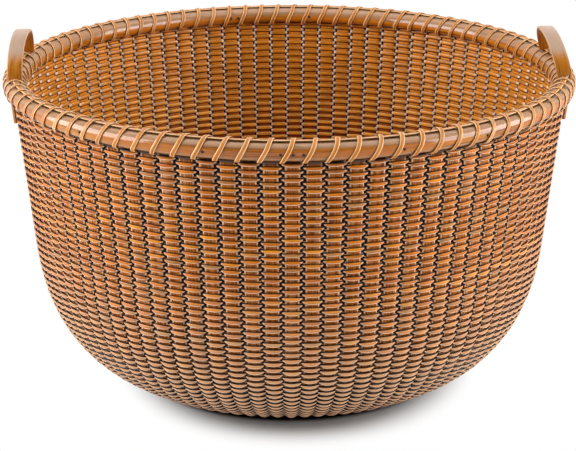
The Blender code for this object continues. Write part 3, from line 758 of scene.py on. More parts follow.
@dataclass(frozen=True)
class BentWoodFinish:
    """Steam-bent ash or oak, varnished: orange-brown, long fine grain, with painted highlights
    round its edges, painted reflections on its top, and painted shade lines along its sides.
    """

    name: str
    face: str
    streak: str
    pale: str
    # Grain lines lie about 1.5 mm apart and run for 60 mm or more.
    grain_cycles: float
    grain_length: float = 11.0
    grain_seeds: Span = (3.0, 8.0)
    grain_depth: float = 0.1 * MM
    varnish: Varnish = Varnish(bloom=0.2, coat=0.2)
    inner: str = "#b4680c"
    outside_span: Span = (-0.15, 0.15)
    pale_span: Span = (0.45, 0.75)
    pale_share: float = 1.0
    streak_span: Span = (0.52, 0.32)
    streak_share: float = 0.8
    # Painted reflection: above a height the outside face is painted pale grey-brown, standing in
    # for the white surroundings reflected on top of a handle.
    top_reflection: str = "#957b66"
    top_reflection_span: Span = (265.0 * MM, 272.0 * MM)
    top_reflection_share: float = 0.0
    # Painted highlight: the outside is painted pale towards both edges.
    edge_start: float = 0.75
    edge_share: float = 0.0
    # Painted reflection: the top of a hoop is painted pale, and so is a band under the middle of
    # its outside.
    top: str = "#8e6d4e"
    top_span: Span = (-0.05, 0.22)
    top_share: float = 0.0
    top_drop: float = -0.25
    band_top_span: Span = (-0.18, -0.3)
    band_foot_span: Span = (-0.58, -0.45)
    band_share: float = 0.0
    # Painted shade: dark lines along the strip's two sides, where it meets what it lies on.
    painted_crevice_shade: str = "#1c0b03"
    side_shade_span: Span = (0.88, 0.96)
    side_shade_share: float = 0.0

    def build(self) -> Material:
        """Builds the material from the strip's own values.

        Returns:
            The material.
        """
        material = self.varnish.start(self.name)
        marks = Marks(material.node_tree)
        add, across = marks.add, marks.across
        grain = marks.fibres(self.grain_length, self.grain_cycles, self.grain_seeds[0], 4.0)
        broad = marks.fibres(self.grain_length / 2, self.grain_cycles / 5, self.grain_seeds[1])
        outside = add(Kind.SPREAD, marks.side, *self.outside_span)
        from_middle = add(Kind.SIZE, across)
        colour = add(Kind.BLEND, add(Kind.SPREAD, broad, *self.pale_span, 0.0, self.pale_share),
                     self.face, self.pale)
        colour = add(Kind.BLEND, outside, self.inner, colour)
        # Painted reflection: paler above a height on the outside face.
        reflected_top = add(Kind.TIMES, outside, add(
            Kind.SPREAD, marks.height, *self.top_reflection_span, 0.0, self.top_reflection_share))
        # Painted highlight towards both edges of the outside face.
        edge = add(Kind.TIMES, outside, add(
            Kind.SPREAD, from_middle, self.edge_start, 1.0, 0.0, self.edge_share))
        # Painted reflections on a band under the middle of the outside and on the top.
        band = add(Kind.TIMES, add(Kind.SPREAD, across, *self.band_top_span),
                   add(Kind.SPREAD, across, *self.band_foot_span, 0.0, self.band_share))
        top = add(Kind.SPREAD, add(Kind.TIMES_PLUS, outside, self.top_drop, across),
                  *self.top_span, 0.0, self.top_share)
        for share, layer in (
                (add(Kind.SPREAD, grain, *self.streak_span, 0.0, self.streak_share), self.streak),
                (reflected_top, self.top_reflection), (edge, self.pale),
                (add(Kind.LARGER, add(Kind.TIMES, band, outside), top), self.top),
                # Painted shade along both sides.
                (add(Kind.SPREAD, from_middle, *self.side_shade_span, 0.0, self.side_shade_share),
                 self.painted_crevice_shade)):
            colour = add(Kind.BLEND, share, colour, layer)
        return end_material(material, {"Base Color": colour}, grain, self.grain_depth)


@dataclass(frozen=True)
class TurnedWoodFinish:
    """Walnut turned on a lathe: dark brown plank figure, with fine tool rings round the axis."""

    name: str = "turned_walnut"
    varnish: Varnish = Varnish(bloom=0.15)
    face: str = "#8a5a33"
    figure: str = "#5c381d"
    # The plank's growth lines lie about 5 mm apart.
    figure_cycles: float = 200.0
    figure_stretch: tuple[float, float, float] = (0.06, 1.0, 0.25)
    figure_span: Span = (0.56, 0.38)
    # The tool's rings lie 1.2 mm apart, coarser than the real 0.4 mm so that they show.
    ring_cycles: float = 830.0
    ring_depth: float = 0.03 * MM

    def build(self) -> Material:
        """Builds the material from Object coordinates.

        Returns:
            The material.
        """
        material = self.varnish.start(self.name)
        add = partial(add_node, material.node_tree)
        place = add("ShaderNodeTexCoord", out="Object")
        figure = add("ShaderNodeTexNoise", {
            "Vector": add(Kind.STRETCH, place, self.figure_stretch),
            "Scale": self.figure_cycles, "Detail": 4.0, "Distortion": 0.4})
        colour = add(Kind.BLEND, add(Kind.SPREAD, figure, *self.figure_span), self.face,
                     self.figure)
        radius = add(Kind.LENGTH, add(Kind.STRETCH, place, (1.0, 1.0, 0.0)))
        rings = add(Kind.SINE, add(Kind.TIMES, radius, 2 * math.pi * self.ring_cycles))
        return end_material(material, {"Base Color": colour}, rings, self.ring_depth)


@dataclass(frozen=True)
class NailFinish:
    """Old iron nail: dark brown head, dull, with a little rust in spots of about 0.7 mm."""

    name: str = "aged_iron_nail"
    metal: str = "#2a1f19"
    rust: str = "#4a2a1a"
    roughness: float = 0.5
    metallic: float = 0.6
    spot_cycles: float = 1500.0

    def build(self) -> Material:
        """Builds the material from Object coordinates.

        Returns:
            The material.
        """
        material = start_material(self.name, {
            "Roughness": self.roughness, "Metallic": self.metallic})
        add = partial(add_node, material.node_tree)
        spots = add("ShaderNodeTexNoise", {
            "Vector": add("ShaderNodeTexCoord", out="Object"), "Scale": self.spot_cycles})
        return end_material(material, {
            "Base Color": add(Kind.BLEND, spots, self.metal, self.rust)})


@dataclass
class WovenWall:
    """One long cane weaver, wound up the wall over one stave and under the next."""

    form: BasketForm
    strip: Strip = Strip(3.0 * MM, 1.25 * MM, 8, 2.7)
    row_pitch: float = 2.85 * MM
    stave_thickness: float = 1.8 * MM
    press: float = 0.03 * MM
    first_radius: float = 104.1 * MM
    top_height: float = 238.8 * MM
    shoulder: float = 0.34
    top_arch: float = 0.5
    foot_arch: float = 0.8
    inner_arch: float = 0.2
    outer_width: float = 1.04
    foot_widening: float = 0.34
    crossing_width: float = 0.91
    inner_width: float = 1.3
    low_height: float = 150.0 * MM
    low_power: float = 0.6
    # Unevenness of the reach, the height and the width; it changes every three staves.
    uneven_staves: int = 3
    uneven_reach: float = 0.03
    uneven_height: float = 0.1 * MM
    uneven_width: float = 0.03
    rows_per_band: int = 13
    phases: tuple[float, ...] = (-0.5, -0.42, -0.34, -0.2, -0.07, 0.07, 0.2, 0.34, 0.42)
    pieces: list[Piece] = field(default_factory=list)

    def weave_offset(self, turn: np.ndarray, low: np.ndarray) -> np.ndarray:
        """Where the strip lies between inside (-1) and outside (1) at each place along it.

        Args:
            turn: place along the strip, in staves.
            low: 0 at the rim and 1 at the foot, where the short spans arch out more.
        Returns:
            The share of the reach, above 1 where a span arches clear of its stave.
        """
        nearest = np.round(turn)
        outside = nearest % 2 == 0
        away = np.abs(turn - nearest)
        beyond = np.clip((away - self.shoulder) / (0.5 - self.shoulder), 0, 1)
        outer_arch = self.top_arch + (self.foot_arch - self.top_arch) * low
        arch = np.where(outside, outer_arch, self.inner_arch)
        dome = 1 + arch * np.clip(1 - (away / self.shoulder) ** 2, 0, None)
        return np.where(outside, 1.0, -1.0) * np.cos(beyond * QUARTER_TURN) * dome

    def build(self, tree: Tree, material: Material) -> None:
        """Builds the wall in bands that follow one another along the same spiral.

        Args:
            tree: the sweep's tree.
            material: the cane's material.
        """
        curve = self.form.wall_curve()
        start = np.interp(self.first_radius, curve[:, 1], curve[:, 0])
        stop = np.interp(self.top_height, curve[:, 2], curve[:, 0])
        staves = self.form.stave_count
        total = int((stop - start) / self.row_pitch * staves)
        chance = np.random.default_rng(91)
        knots = chance.normal(0, 1, (total // self.uneven_staves + 4, 3))
        steps = np.concatenate([index + np.array(self.phases) for index in range(total + 1)])
        length = start + self.row_pitch * steps / staves
        radius, height, outward, upward = (
            np.interp(length, curve[:, 0], column) for column in curve.T[1:])
        azimuth = self.form.stave_azimuth(steps)
        wander = [np.interp(steps / self.uneven_staves, np.arange(len(knots)), column)
                  for column in knots.T]
        low = np.clip((self.low_height - height) / self.low_height, 0, 1) ** self.low_power
        offset = self.weave_offset(steps, low)
        reach = self.stave_thickness / 2 + self.strip.thickness / 2 - self.press
        normal = around(azimuth, outward, upward)
        middle = around(azimuth, radius, height)
        middle = middle + (offset * reach * (1 + self.uneven_reach * wander[0]))[:, None] * normal
        middle = middle + (self.uneven_height * wander[1])[:, None] * around(
            azimuth, -upward, outward)
        widest = np.where(offset > 0, self.outer_width + self.foot_widening * low,
                          self.inner_width)
        narrowing = self.crossing_width + (widest - self.crossing_width) * np.clip(
            np.abs(offset), 0, 1)
        narrowing = narrowing * (1 + self.uneven_width * wander[2])
        swing = np.abs((steps + 1) % 2 - 1)
        per_band = self.rows_per_band * staves * len(self.phases)
        first = 0.0
        for number, begin in enumerate(range(0, len(steps), per_band), 1):
            part = slice(begin, begin + per_band + 1)
            line = guide_line(middle[part], normal[part], narrowing[part], swing[part],
                              np.round(steps[part]), first)
            first = line[Guide.ALONG][-1]
            self.pieces.append(self.strip.sweep(f"weave_band_{number}", [line], tree, material))

    def dress(self) -> None:
        """Ties the bands to the frame."""
        for piece in self.pieces:
            settle(piece, "woven_cane", "woven_wall")


@dataclass
class StaveSet:
    """Tapered staves that stand in the base plate's groove and end between the hoops."""

    form: BasketForm
    strip: Strip = Strip(11.0 * MM, 1.8 * MM, 12, 3.2)
    tip_height: float = 250.3 * MM
    stations: int = 26
    station_power: float = 0.9
    staves_per_group: int = 7
    pieces: list[Piece] = field(default_factory=list)

    def build(self, tree: Tree, material: Material) -> None:
        """Builds one piece for each group of seven staves.

        Args:
            tree: the sweep's tree.
            material: the staves' material.
        """
        curve = self.form.wall_curve()
        last = np.interp(self.tip_height, curve[:, 2], curve[:, 0])
        length = last * np.linspace(0, 1, self.stations) ** self.station_power
        radius, height, outward, upward = (
            np.interp(length, curve[:, 0], column) for column in curve.T[1:])
        narrowing = self.form.stave_width(radius) / self.strip.width
        for first in range(0, self.form.stave_count, self.staves_per_group):
            lines = []
            for number in range(first, first + self.staves_per_group):
                azimuth = self.form.stave_azimuth(number)
                lines.append(guide_line(
                    around(azimuth, radius, height), around(azimuth, outward, upward),
                    narrowing, tone=float(number)))
            name = f"staves_{len(self.pieces) + 1:02d}"
            self.pieces.append(self.strip.sweep(name, lines, tree, material))

    def dress(self) -> None:
        """Ties the groups to the frame."""
        for number, piece in enumerate(self.pieces, 1):
            settle(piece, "stave_wood", f"stave_group_{number:02d}")


def loft(name: str, rings: np.ndarray, along: np.ndarray, across: np.ndarray, side: float,
         material: Material) -> Piece:
    """Skins a row of equal sections and closes both ends.

    Args:
        name: the object's name.
        rings: points as [ring, point, X Y Z].
        along: length of each ring along the piece.
        across: place of each point of a section across the piece.
        side: 1 for a piece on the outside of the staves and -1 for one on the inside.
        material: the piece's material.
    Returns:
        The object, linked to the scene.
    """
    count, points = rings.shape[:2]
    mesh = bpy.data.meshes.new(name)
    faces = [tuple(range(points)), tuple(range(count * points - 1, (count - 1) * points - 1, -1))]
    for ring in range(count - 1):
        for point in range(points):
            after = (point + 1) % points
            faces.append((ring * points + point, (ring + 1) * points + point,
                          (ring + 1) * points + after, ring * points + after))
    mesh.from_pydata(rings.reshape(-1, 3).tolist(), [], faces)
    for label, values in ((Guide.ALONG.value, np.repeat(along, points)),
                          ("across", np.tile(across, count)),
                          ("side", np.full(count * points, side))):
        mesh.attributes.new(label, "FLOAT", "POINT").data.foreach_set(
            "value", values.astype(np.float32))
    return link(name, shade(mesh, math.radians(50), material))


def shade(mesh: bpy.types.Mesh, sharp: float, material: Material) -> bpy.types.Mesh:
    """Shades a mesh smooth up to an angle and gives it its material.

    Args:
        mesh: the mesh.
        sharp: angle from which an edge stays sharp.
        material: the mesh's material.
    Returns:
        The same mesh.
    """
    mesh.shade_smooth()
    mesh.set_sharp_from_angle(angle=sharp)
    mesh.materials.append(material)
    return mesh


@dataclass
class Rim:
    """Two half-round hoops that clamp the staves' tips, a cane cap, the lashing and the nails."""

    form: BasketForm
    seat: float = 1.08 * MM
    outer_thickness: float = 7.3 * MM
    inner_thickness: float = 7.7 * MM
    foot_rise: float = 1.1 * MM
    belly_rise: float = 6.9 * MM
    lower_power: float = 2.6
    upper_power: float = 2.3
    scarf_length: float = 36.0 * MM
    inner_scarf_length: float = 18.0 * MM
    joint_gap: float = 0.35 * MM
    outer_joint: float = 0.24
    inner_joint_turn: float = 0.543
    hoop_stations: int = 361
    section_steps: int = 14
    cap: Strip = Strip(4.5 * MM, 1.3 * MM, 10, 2.6)
    cap_rise: float = 14.95 * MM
    cap_joint: int = 7
    cap_gap: float = 0.002
    lash: Strip = Strip(3.4 * MM, 0.95 * MM, 8, 2.7)
    lash_turns: tuple[int, ...] = (23, 23, 23, 22)
    lash_unevenness: float = 0.05
    nail_head: float = 2.3 * MM
    nail_height: float = 0.75 * MM
    nail_beside: float = 4.05 * MM
    outer_nails: tuple[tuple[int, int], ...] = (
        (-10, -1), (-4, 1), (0, -1), (0, 1), (1, -1), (5, 1), (10, -1))
    inner_nails: tuple[tuple[int, int], ...] = ((44, -1), (48, 1), (49, -1))
    hoops: list[Piece] = field(default_factory=list)
    lashings: list[Piece] = field(default_factory=list)
    nails: list[Piece] = field(default_factory=list)
    cap_piece: Piece | None = None

    def hoop_section(self, side: int) -> tuple[np.ndarray, np.ndarray, np.ndarray]:
        """Works out a hoop's half-round section.

        Args:
            side: 1 for the outer hoop and -1 for the inner one.
        Returns:
            Offsets and rises of the section's points, and their share of the thickness.
        """
        thickness = self.outer_thickness if side == 1 else self.inner_thickness
        angle = np.linspace(-QUARTER_TURN, QUARTER_TURN, self.section_steps)
        power = np.where(angle < 0, 2 / self.lower_power, 2 / self.upper_power)
        reach = np.where(angle < 0, self.belly_rise - self.foot_rise,
                         self.form.hoop_height - self.belly_rise)
        swell = np.abs(np.cos(angle)) ** power
        rise = self.belly_rise + np.sign(angle) * reach * np.abs(np.sin(angle)) ** power
        return side * (self.seat + thickness * swell), rise, swell

    def add_hoop(self, name: str, side: int, joint: float, scarf: float,
                 material: Material) -> None:
        """Builds one hoop, whose slanting ends meet at a joint.

        Args:
            name: the piece's name.
            side: 1 for the outer hoop and -1 for the inner one.
            joint: azimuth of the joint.
            scarf: length of the joint's slant.
            material: the hoops' material.
        """
        offset, rise, swell = self.hoop_section(side)
        radius = self.form.rim_stave_radius
        turn = np.linspace(0, 2 * math.pi - self.joint_gap / radius, self.hoop_stations)
        slant = scarf / radius
        fade = np.clip(1 - np.minimum(turn, turn[-1] - turn) / slant, 0, 1)
        azimuth = joint + turn[:, None] + side * slant * fade[:, None] * (swell - 0.5)
        rings = self.form.rim_point(offset, rise, azimuth)
        self.hoops.append(loft(name, rings, turn * radius, np.linspace(-1, 1, len(offset)),
                               side, material))

    def add_cap(self, tree: Tree, material: Material) -> None:
        """Builds the cane strip that covers the staves' tips.

        Args:
            tree: the sweep's tree.
            material: the strip's material.
        """
        azimuth = self.form.gap_azimuth(self.cap_joint) + np.linspace(
            0, 2 * math.pi - self.cap_gap, self.hoop_stations)
        line = guide_line(self.form.rim_point(0.0, self.cap_rise, azimuth),
                          around(azimuth, -self.form.flare_share, 1.0))
        self.cap_piece = self.cap.sweep("rim_cap_strip", [line], tree, material)

    def lash_outline(self) -> np.ndarray:
        """Way of one lashing turn round the rim.

        Returns:
            Rows of offset, rise and share of the stave pitch, from under the outer hoop up
            outside, over the cap, down inside and back under.
        """
        return np.array([
            (4.6, 0.3, 0.0), (7.3, 1.2, 0.04), (8.85, 3.7, 0.12), (9.05, 6.8, 0.24),
            (8.45, 10.0, 0.35), (6.5, 13.1, 0.44), (3.4, 15.5, 0.50), (0.0, 16.25, 0.54),
            (-3.4, 15.5, 0.58), (-6.9, 13.1, 0.64), (-8.85, 10.0, 0.72), (-9.45, 6.8, 0.84),
            (-9.25, 3.7, 0.93), (-7.7, 1.2, 0.97), (-4.9, 0.3, 0.99), (-0.1, 0.1, 0.995),
        ]) * (MM, MM, 1.0)

    def add_lashing(self, number: int, first_turn: int, turns: int, tree: Tree,
                    material: Material) -> None:
        """Builds one unbroken length of the lashing, as a smooth curve through its outline.

        Args:
            number: the length's number.
            first_turn: gap of its first turn.
            turns: how many turns it has.
            tree: the sweep's tree.
            material: the lashing's material.
        """
        outline = self.lash_outline()
        places = np.concatenate([
            outline + (0, 0, first_turn + turn) for turn in range(-1, turns + 1)])
        count = len(outline)
        fine = np.arange(count - 2, len(places) - count + 2.01, 0.5)
        base = np.floor(fine).astype(int)
        share = (fine - base)[:, None]
        before, here, after, later = (places[base + shift] for shift in (-1, 0, 1, 2))
        smooth = 0.5 * (2 * here + (after - before) * share
                        + (2 * before - 5 * here + 4 * after - later) * share ** 2
                        + (3 * here - before - 3 * after + later) * share ** 3)
        azimuth = self.form.gap_azimuth(smooth[:, 2])
        points = self.form.rim_point(smooth[:, 0], smooth[:, 1], azimuth)
        runs = np.gradient(smooth[:, :2], axis=0)
        runs /= np.linalg.norm(runs, axis=1, keepdims=True)
        knots = np.arange(0, len(places) + 9, 5)
        chance = np.random.default_rng(40 + number)
        wander = np.interp(fine, knots, chance.normal(0, 1, len(knots)))
        line = guide_line(points, around(azimuth, runs[:, 1], -runs[:, 0]),
                          1 + self.lash_unevenness * wander, tone=np.floor(smooth[:, 2]))
        self.lashings.append(self.lash.sweep(
            f"rim_lashing_length_{number}", [line], tree, material))

    def add_nails(self, name: str, side: int, places: tuple[tuple[int, int], ...], tree: Tree,
                  material: Material) -> None:
        """Builds the nail heads of one hoop, each beside a lashing turn.

        Args:
            name: the piece's name.
            side: 1 for the outer hoop and -1 for the inner one.
            places: for each nail its lashing turn, and on which side of the turn it sits.
            tree: the nail heads' tree.
            material: the nails' material.
        """
        offset, rise, _ = self.hoop_section(side)
        outline = self.lash_outline()
        half = outline[1:7] if side == 1 else outline[9:14][::-1]
        middle = self.form.hoop_height / 2
        share = np.interp(middle, half[:, 1], half[:, 2])
        reach = np.interp(middle, rise, np.abs(offset))
        turns, ways = np.array(places).T
        azimuth = self.form.gap_azimuth(turns + share) + (
            ways * self.nail_beside / self.form.rim_stave_radius)
        faces = around(azimuth, side, -self.form.flare_share * side)
        line = guide_line(self.form.rim_point(side * reach, middle, azimuth), faces)
        line[Guide.FACE_WAY] = faces
        self.nails.append(grow(name, [line], tree, {
            "Head Width": self.nail_head, "Head Height": self.nail_height,
            "Material": material}))

    def build(self, sweep: Tree, heads: Tree, hoop: Material, cane: Material,
              iron: Material) -> None:
        """Builds all pieces of the rim.

        Args:
            sweep: the sweep's tree.
            heads: the nail heads' tree.
            hoop: the hoops' material.
            cane: material of the cap and the lashing.
            iron: the nails' material.
        """
        self.add_hoop("outer_half_round_hoop", 1, self.form.gap_azimuth(self.outer_joint),
                      self.scarf_length, hoop)
        back = self.form.front_azimuth + self.inner_joint_turn * 2 * math.pi
        self.add_hoop("inner_half_round_hoop", -1, back, self.inner_scarf_length, hoop)
        self.add_cap(sweep, cane)
        first = 0
        for number, turns in enumerate(self.lash_turns, 1):
            self.add_lashing(number, first, turns, sweep, cane)
            first += turns
        self.add_nails("outer_nail_heads", 1, self.outer_nails, heads, iron)
        self.add_nails("inner_nail_heads", -1, self.inner_nails, heads, iron)

    def dress(self) -> None:
        """Ties the rim's pieces to the frame."""
        settle(self.hoops[0], "hoop_wood", "outer_hoop")
        settle(self.hoops[1], "hoop_wood", "inner_hoop")
        settle(self.cap_piece, "lashing_cane", "rim_cap")
        for number, piece in enumerate(self.lashings, 1):
            settle(piece, "lashing_cane", f"rim_lashing_{number}")
        count = len(self.outer_nails)
        names = [f"rim_nail_{number + 1:02d}" for number in range(count + len(self.inner_nails))]
        settle(self.nails[0], "nail_metal", *names[:count])
        settle(self.nails[1], "nail_metal", *names[count:])


@dataclass
class EarHandle:
    """Ear handle, bent from a flat strip, whose two legs pass down inside the outer hoop."""

    form: BasketForm
    node: str
    first_gap: int
    lean: float
    bow: Strip = Strip(11.8 * MM, 3.0 * MM, 16, 5.0)
    # The tongues are as wide as the bow is thick.
    tongue: Strip = Strip(3.0 * MM, 2.8 * MM, 12, 3.5)
    rise: float = 26.2 * MM
    power: float = 2.3
    shoulder: float = 252.4 * MM
    tongue_offset: float = 4.25 * MM
    tongue_azimuth_shift: float = 3.647 * MM
    tongue_start: float = 1.5 * MM
    tongue_taper: float = 0.86
    tongue_stations: int = 12
    tail_end: float = 217.5 * MM
    span_gaps: int = 6
    stations: int = 40
    piece: Piece | None = None

    def tongue_azimuth(self, end: int) -> float:
        """Azimuth of the tongue of the first (-1) or second (1) leg."""
        gap = self.first_gap if end == -1 else self.first_gap + self.span_gaps
        return self.form.gap_azimuth(gap) + self.tongue_azimuth_shift / self.form.rim_stave_radius

    def place(self, across: np.ndarray | float, along: np.ndarray | float,
              height: np.ndarray | float) -> np.ndarray:
        """Places points of the handle.

        Args:
            across: distance outwards from the line between the tongues.
            along: distance along the rim from the handle's middle.
            height: height above the floor.
        Returns:
            The points as rows of X, Y and Z.
        """
        middle = (self.tongue_azimuth(-1) + self.tongue_azimuth(1)) / 2
        half = self.span_gaps * self.form.pitch_angle / 2
        reach = (self.form.flare_radius(self.shoulder) + self.tongue_offset) * math.cos(half)
        out = around(middle, reach + across, height)
        return out + around(middle + QUARTER_TURN, along, 0.0)

    def build(self, tree: Tree, material: Material) -> None:
        """Builds the bent strip and the tails of its two tongues.

        Args:
            tree: the sweep's tree.
            material: the handle's material.
        """
        half = self.span_gaps * self.form.pitch_angle / 2
        leg = (self.form.flare_radius(self.shoulder) + self.tongue_offset) * math.sin(half)
        angle = np.linspace(0, math.pi, self.stations)
        share = 2 / self.power
        run = -np.sign(np.cos(angle)) * np.abs(np.cos(angle)) ** share * leg
        climb = np.sin(angle).clip(0) ** share * (self.rise - self.bow.thickness / 2)
        centre = (self.tongue.thickness - self.bow.width) / 2 - self.lean * climb / self.rise
        points = self.place(centre, run, self.shoulder + climb)
        level = self.place(1.0, 0.0, 0.0) - self.place(0.0, 0.0, 0.0)
        faces = np.cross(level, np.gradient(points, axis=0))
        faces *= np.sign((faces * (points - points.mean(axis=0))).sum(axis=1, keepdims=True))
        self.piece = self.bow.sweep(f"bent_{self.node}", [guide_line(points, faces)], tree,
                                    material)
        down = np.linspace(self.shoulder + self.tongue_start, self.tail_end, self.tongue_stations)
        slide = self.form.flare_share * (down - self.shoulder)
        tails = []
        for end in (-1, 1):
            azimuth = self.tongue_azimuth(end)
            line = self.place(0.0, end * leg, down) + around(azimuth, slide, 0.0)
            faces = around(np.full(len(down), azimuth), 1.0, -self.form.flare_share)
            tails.append(guide_line(line, faces, np.linspace(1.0, self.tongue_taper, len(down)),
                                    first=0.06 * (end + 2)))
        tongues = self.tongue.sweep(f"tongues_{self.node}", tails, tree, material)
        joined = bmesh.new()
        joined.from_mesh(self.piece.data)
        joined.from_mesh(tongues.data)
        joined.to_mesh(self.piece.data)
        joined.free()
        bpy.data.objects.remove(tongues)

    def dress(self) -> None:
        """Ties the handle to the frame."""
        settle(self.piece, "handle_wood", self.node)


@dataclass
class BasePlate:
    """Turned wooden plate with a groove round its edge and three turned lines on each face."""

    form: BasketForm
    thickness: float = 12.0 * MM
    lower_round: float = 2.5 * MM
    upper_round: float = 3.0 * MM
    round_steps: int = 7
    groove_depth: float = 6.3 * MM
    groove_half: float = 1.0 * MM
    line_radii: tuple[float, ...] = (30.0 * MM, 32.5 * MM, 78.0 * MM)
    line_depth: float = 0.5 * MM
    line_half: float = 0.7 * MM
    # Each line's section: a share of its half width and of its depth.
    line_section: tuple[tuple[float, float], ...] = (
        (-1, 0.0), (-0.5, 0.8), (0, 1.0), (0.5, 0.8), (1, 0.0))
    steps: int = 180
    sharp_angle: float = math.radians(40)
    piece: Piece | None = None

    def profile(self) -> list[tuple[float, float]]:
        """Works out the plate's section, from the underside's middle to the top's.

        Returns:
            Radius and height of each point.
        """
        edge = self.form.plate_radius
        middle = self.form.groove_middle
        face = [(0.0, 0.0)] + [(radius + step * self.line_half, dip * self.line_depth)
                               for radius in self.line_radii for step, dip in self.line_section]
        turn = np.linspace(0, QUARTER_TURN, self.round_steps)
        low = [(edge - self.lower_round * (1 - math.sin(a)), self.lower_round * (1 - math.cos(a)))
               for a in turn]
        high = [(edge - self.upper_round * (1 - math.cos(a)),
                 self.thickness - self.upper_round / 2 * (1 - math.sin(a))) for a in turn]
        groove = [(edge, middle - self.groove_half),
                  (edge - self.groove_depth, middle - self.groove_half),
                  (edge - self.groove_depth, middle + self.groove_half),
                  (edge, middle + self.groove_half)]
        return face + low + groove + high + [
            (radius, self.thickness - dip) for radius, dip in face[::-1]]

    def build(self, material: Material) -> None:
        """Builds the plate by turning its section round the axis.

        Args:
            material: the plate's material.
        """
        mesh = bmesh.new()
        rings = []
        for radius, height in self.profile():
            if radius == 0:
                rings.append([mesh.verts.new((0, 0, height))] * self.steps)
                continue
            angles = (2 * math.pi * index / self.steps for index in range(self.steps))
            rings.append([mesh.verts.new((radius * math.cos(a), radius * math.sin(a), height))
                          for a in angles])
        for lower, upper in zip(rings, rings[1:]):
            for index in range(self.steps):
                after = (index + 1) % self.steps
                loop = [lower[index], lower[after], upper[after], upper[index]]
                mesh.faces.new(list(dict.fromkeys(loop)))
        data = bpy.data.meshes.new("turned_base_plate")
        mesh.to_mesh(data)
        mesh.free()
        self.piece = link("turned_base_plate", shade(data, self.sharp_angle, material))

    def dress(self) -> None:
        """Ties the plate to the frame."""
        settle(self.piece, "base_wood", "base_plate")


@dataclass(frozen=True)
class Lamp:
    """Square soft lamp that looks at the basket's middle, with its power in watts."""

    name: str
    place: tuple[float, float, float]
    size: float
    power: float
    aim_height: float = 0.15

    def build(self) -> None:
        """Hangs the lamp."""
        lamp = bpy.data.lights.new(self.name, "AREA")
        lamp.shape = "SQUARE"
        lamp.size = self.size
        lamp.energy = self.power
        item = link(self.name, lamp)
        item.location = self.place
        aim = Vector((0, 0, self.aim_height)) - Vector(self.place)
        item.rotation_euler = aim.to_track_quat("-Z", "Y").to_euler()


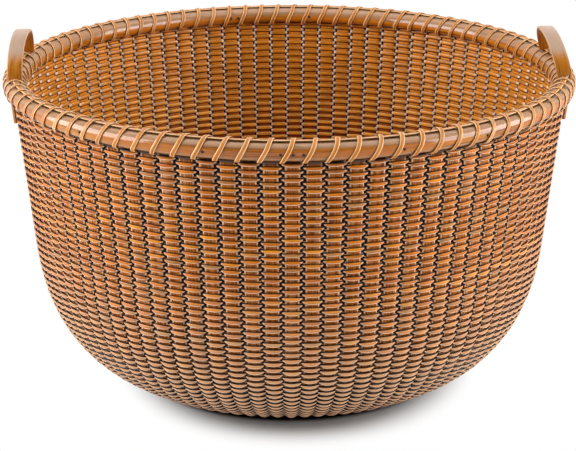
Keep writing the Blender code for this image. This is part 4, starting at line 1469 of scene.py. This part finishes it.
@dataclass(frozen=True)
class Studio:
    """White paper floor, soft lamps, white surroundings and the photograph's camera."""

    sensor_mm: float = 36.0
    lens_mm: float = 104.77
    clip: tuple[float, float] = (0.05, 40.0)
    camera_place: tuple[float, float, float] = (0.0, -1.30273, 0.57304)
    camera_pitch: float = math.radians(19.4)
    camera_shift: float = -0.0021
    floor_half: float = 8.0
    floor_colour: str = "#f2f2f2"
    # Painted shadow: the paper is painted grey near the basket and near-black right at its foot.
    painted_floor_shadow: str = "#b6b6b6"
    painted_contact_shadow: str = "#14100e"
    contact_span: Span = (127.0 * MM, 135.0 * MM)
    shadow_span: Span = (138.0 * MM, 184.0 * MM)
    shadow_centre: tuple[float, float, float] = (5.0 * MM, 0.0, 0.0)
    shadow_widths: tuple[float, float, float] = (1.2, 1.0, 0.0)
    fill_strength: float = 0.7
    front_span: Span = (0.1, 0.9, 1.0, 0.09)
    lamps: tuple[Lamp, ...] = (
        Lamp("overhead_softbox", (0.0, 0.15, 1.7), 1.9, 18.0),
        Lamp("left_softbox", (-1.75, -0.4, 0.45), 1.6, 66.0),
        Lamp("right_softbox", (1.75, -0.4, 0.45), 1.6, 62.0))

    def seen_share(self, tree: Tree) -> Socket:
        """Tells rays that show a surface from rays that only light something.

        Args:
            tree: the tree that asks.
        Returns:
            1 for rays from the camera and for reflected or transmitted ones.
        """
        rays = add_node(tree, "ShaderNodeLightPath").node.outputs
        share = rays["Is Camera Ray"]
        for label in ("Is Glossy Ray", "Is Transmission Ray"):
            share = add_node(tree, Kind.LARGER, share, rays[label])
        return share

    def build_floor(self) -> None:
        """Builds the floor, which takes the basket's shadow, has a painted dark contact shadow and
        painted grey shade round the basket's foot, and is white elsewhere.
        """
        half = self.floor_half
        mesh = bpy.data.meshes.new("floor")
        mesh.from_pydata([(-half, -half, 0), (half, -half, 0), (half, half, 0), (-half, half, 0)],
                         [], [(0, 1, 2, 3)])
        material = bpy.data.materials.new("white_paper_floor")
        material.use_nodes = True
        tree = material.node_tree
        tree.nodes.clear()
        add = partial(add_node, tree)
        place = add("ShaderNodeTexCoord", out="Object")
        under = add(Kind.LENGTH, place)
        # Painted shadow on the paper: grey near the basket, near-black at its foot.
        colour = add(Kind.BLEND, add(Kind.SPREAD, under, *self.shadow_span), self.painted_floor_shadow,
                     self.floor_colour)
        colour = add(Kind.BLEND, add(Kind.SPREAD, under, *self.contact_span),
                     self.painted_contact_shadow, colour)
        radius = add(Kind.LENGTH, add(Kind.STRETCH, add(Kind.APART, place, self.shadow_centre),
                                      self.shadow_widths))
        share = add(Kind.TIMES, add(Kind.SPREAD, radius, *self.shadow_span),
                    self.seen_share(tree))
        add("ShaderNodeOutputMaterial", {"Surface": add(
            "ShaderNodeMixShader", share, add("ShaderNodeBsdfDiffuse", {"Color": colour}),
            add("ShaderNodeEmission", {"Strength": 1.0}))})
        mesh.materials.append(material)
        link("floor", mesh)

    def build_world(self) -> None:
        """Builds surroundings that look white and light the basket softly."""
        world = bpy.data.worlds.new("white_studio")
        world.use_nodes = True
        tree = world.node_tree
        tree.nodes.clear()
        add = partial(add_node, tree)
        way = add("ShaderNodeTexCoord", out="Generated")
        front = add(Kind.TIMES, add("ShaderNodeSeparateXYZ", way, out="Y"), -1.0)
        level = add(Kind.SPREAD, self.seen_share(tree), 0.0, 1.0, self.fill_strength, 1.0)
        strength = add(Kind.LARGER, add("ShaderNodeLightPath", out="Is Camera Ray"),
                       add(Kind.TIMES, level, add(Kind.SPREAD, front, *self.front_span)))
        add("ShaderNodeOutputWorld", {"Surface": add("ShaderNodeBackground", {
            "Color": "#ffffff", "Strength": strength})})
        bpy.context.scene.world = world

    def build_camera(self) -> None:
        """Sets the camera where the photograph was taken from."""
        lens = bpy.data.cameras.new("photo_camera")
        lens.sensor_width = self.sensor_mm
        lens.lens = self.lens_mm
        lens.shift_x = self.camera_shift
        lens.clip_start, lens.clip_end = self.clip
        camera = link("photo_camera", lens)
        camera.location = self.camera_place
        camera.rotation_euler = (QUARTER_TURN - self.camera_pitch, 0, 0)
        bpy.context.scene.camera = camera

    def build(self) -> None:
        """Builds everything round the basket."""
        bpy.context.scene.view_settings.view_transform = "Standard"
        self.build_floor()
        self.build_world()
        for lamp in self.lamps:
            lamp.build()
        self.build_camera()


def main() -> None:
    """Builds the basket's pieces in order and the studio round them."""
    logging.basicConfig(level=logging.INFO, format="%(name)s: %(message)s")
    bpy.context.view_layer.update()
    form = BasketForm()
    sweep, heads = sweep_tree(), nail_tree()
    cane = CaneFinish().build()
    lashing = BentWoodFinish("lashing_cane_varnished", "#aa620d", "#743a09", "#f0cb98", 1.4,
                             grain_length=40.0, edge_start=0.4, edge_share=0.85,
                             inner="#be7822", pale_share=0.3, side_shade_share=0.8,
                             varnish=Varnish(bloom=0.1, coat=0.2)).build()
    hoop = BentWoodFinish("bent_ash_hoop", "#9c5605", "#482204", "#b0721f", 5.0,
                          top_share=0.75, band_share=0.7, side_shade_share=0.8,
                          varnish=Varnish(bloom=0.05, coat=0.8, coat_roughness=0.1)).build()
    bent = BentWoodFinish("bent_oak_handle", "#9c5e0e", "#54300e", "#cfa67c", 3.2,
                          grain_length=55.0, edge_start=0.85, edge_share=0.5, pale_share=0.3,
                          top_reflection_share=0.9, inner="#96540a").build()

    for part, looks in (
            (WovenWall(form), (sweep, cane)),
            (StaveSet(form), (sweep, StaveFinish().build())),
            (Rim(form), (sweep, heads, hoop, lashing, NailFinish().build())),
            (EarHandle(form, "left_handle", 66, 1.0 * MM), (sweep, bent)),
            (EarHandle(form, "right_handle", 20, 7.0 * MM), (sweep, bent)),
            (BasePlate(form), (TurnedWoodFinish().build(),))):
        part.build(*looks)
        part.dress()
    Studio().build()

    log.info("sizes written")


if __name__ == "__main__":
    main()
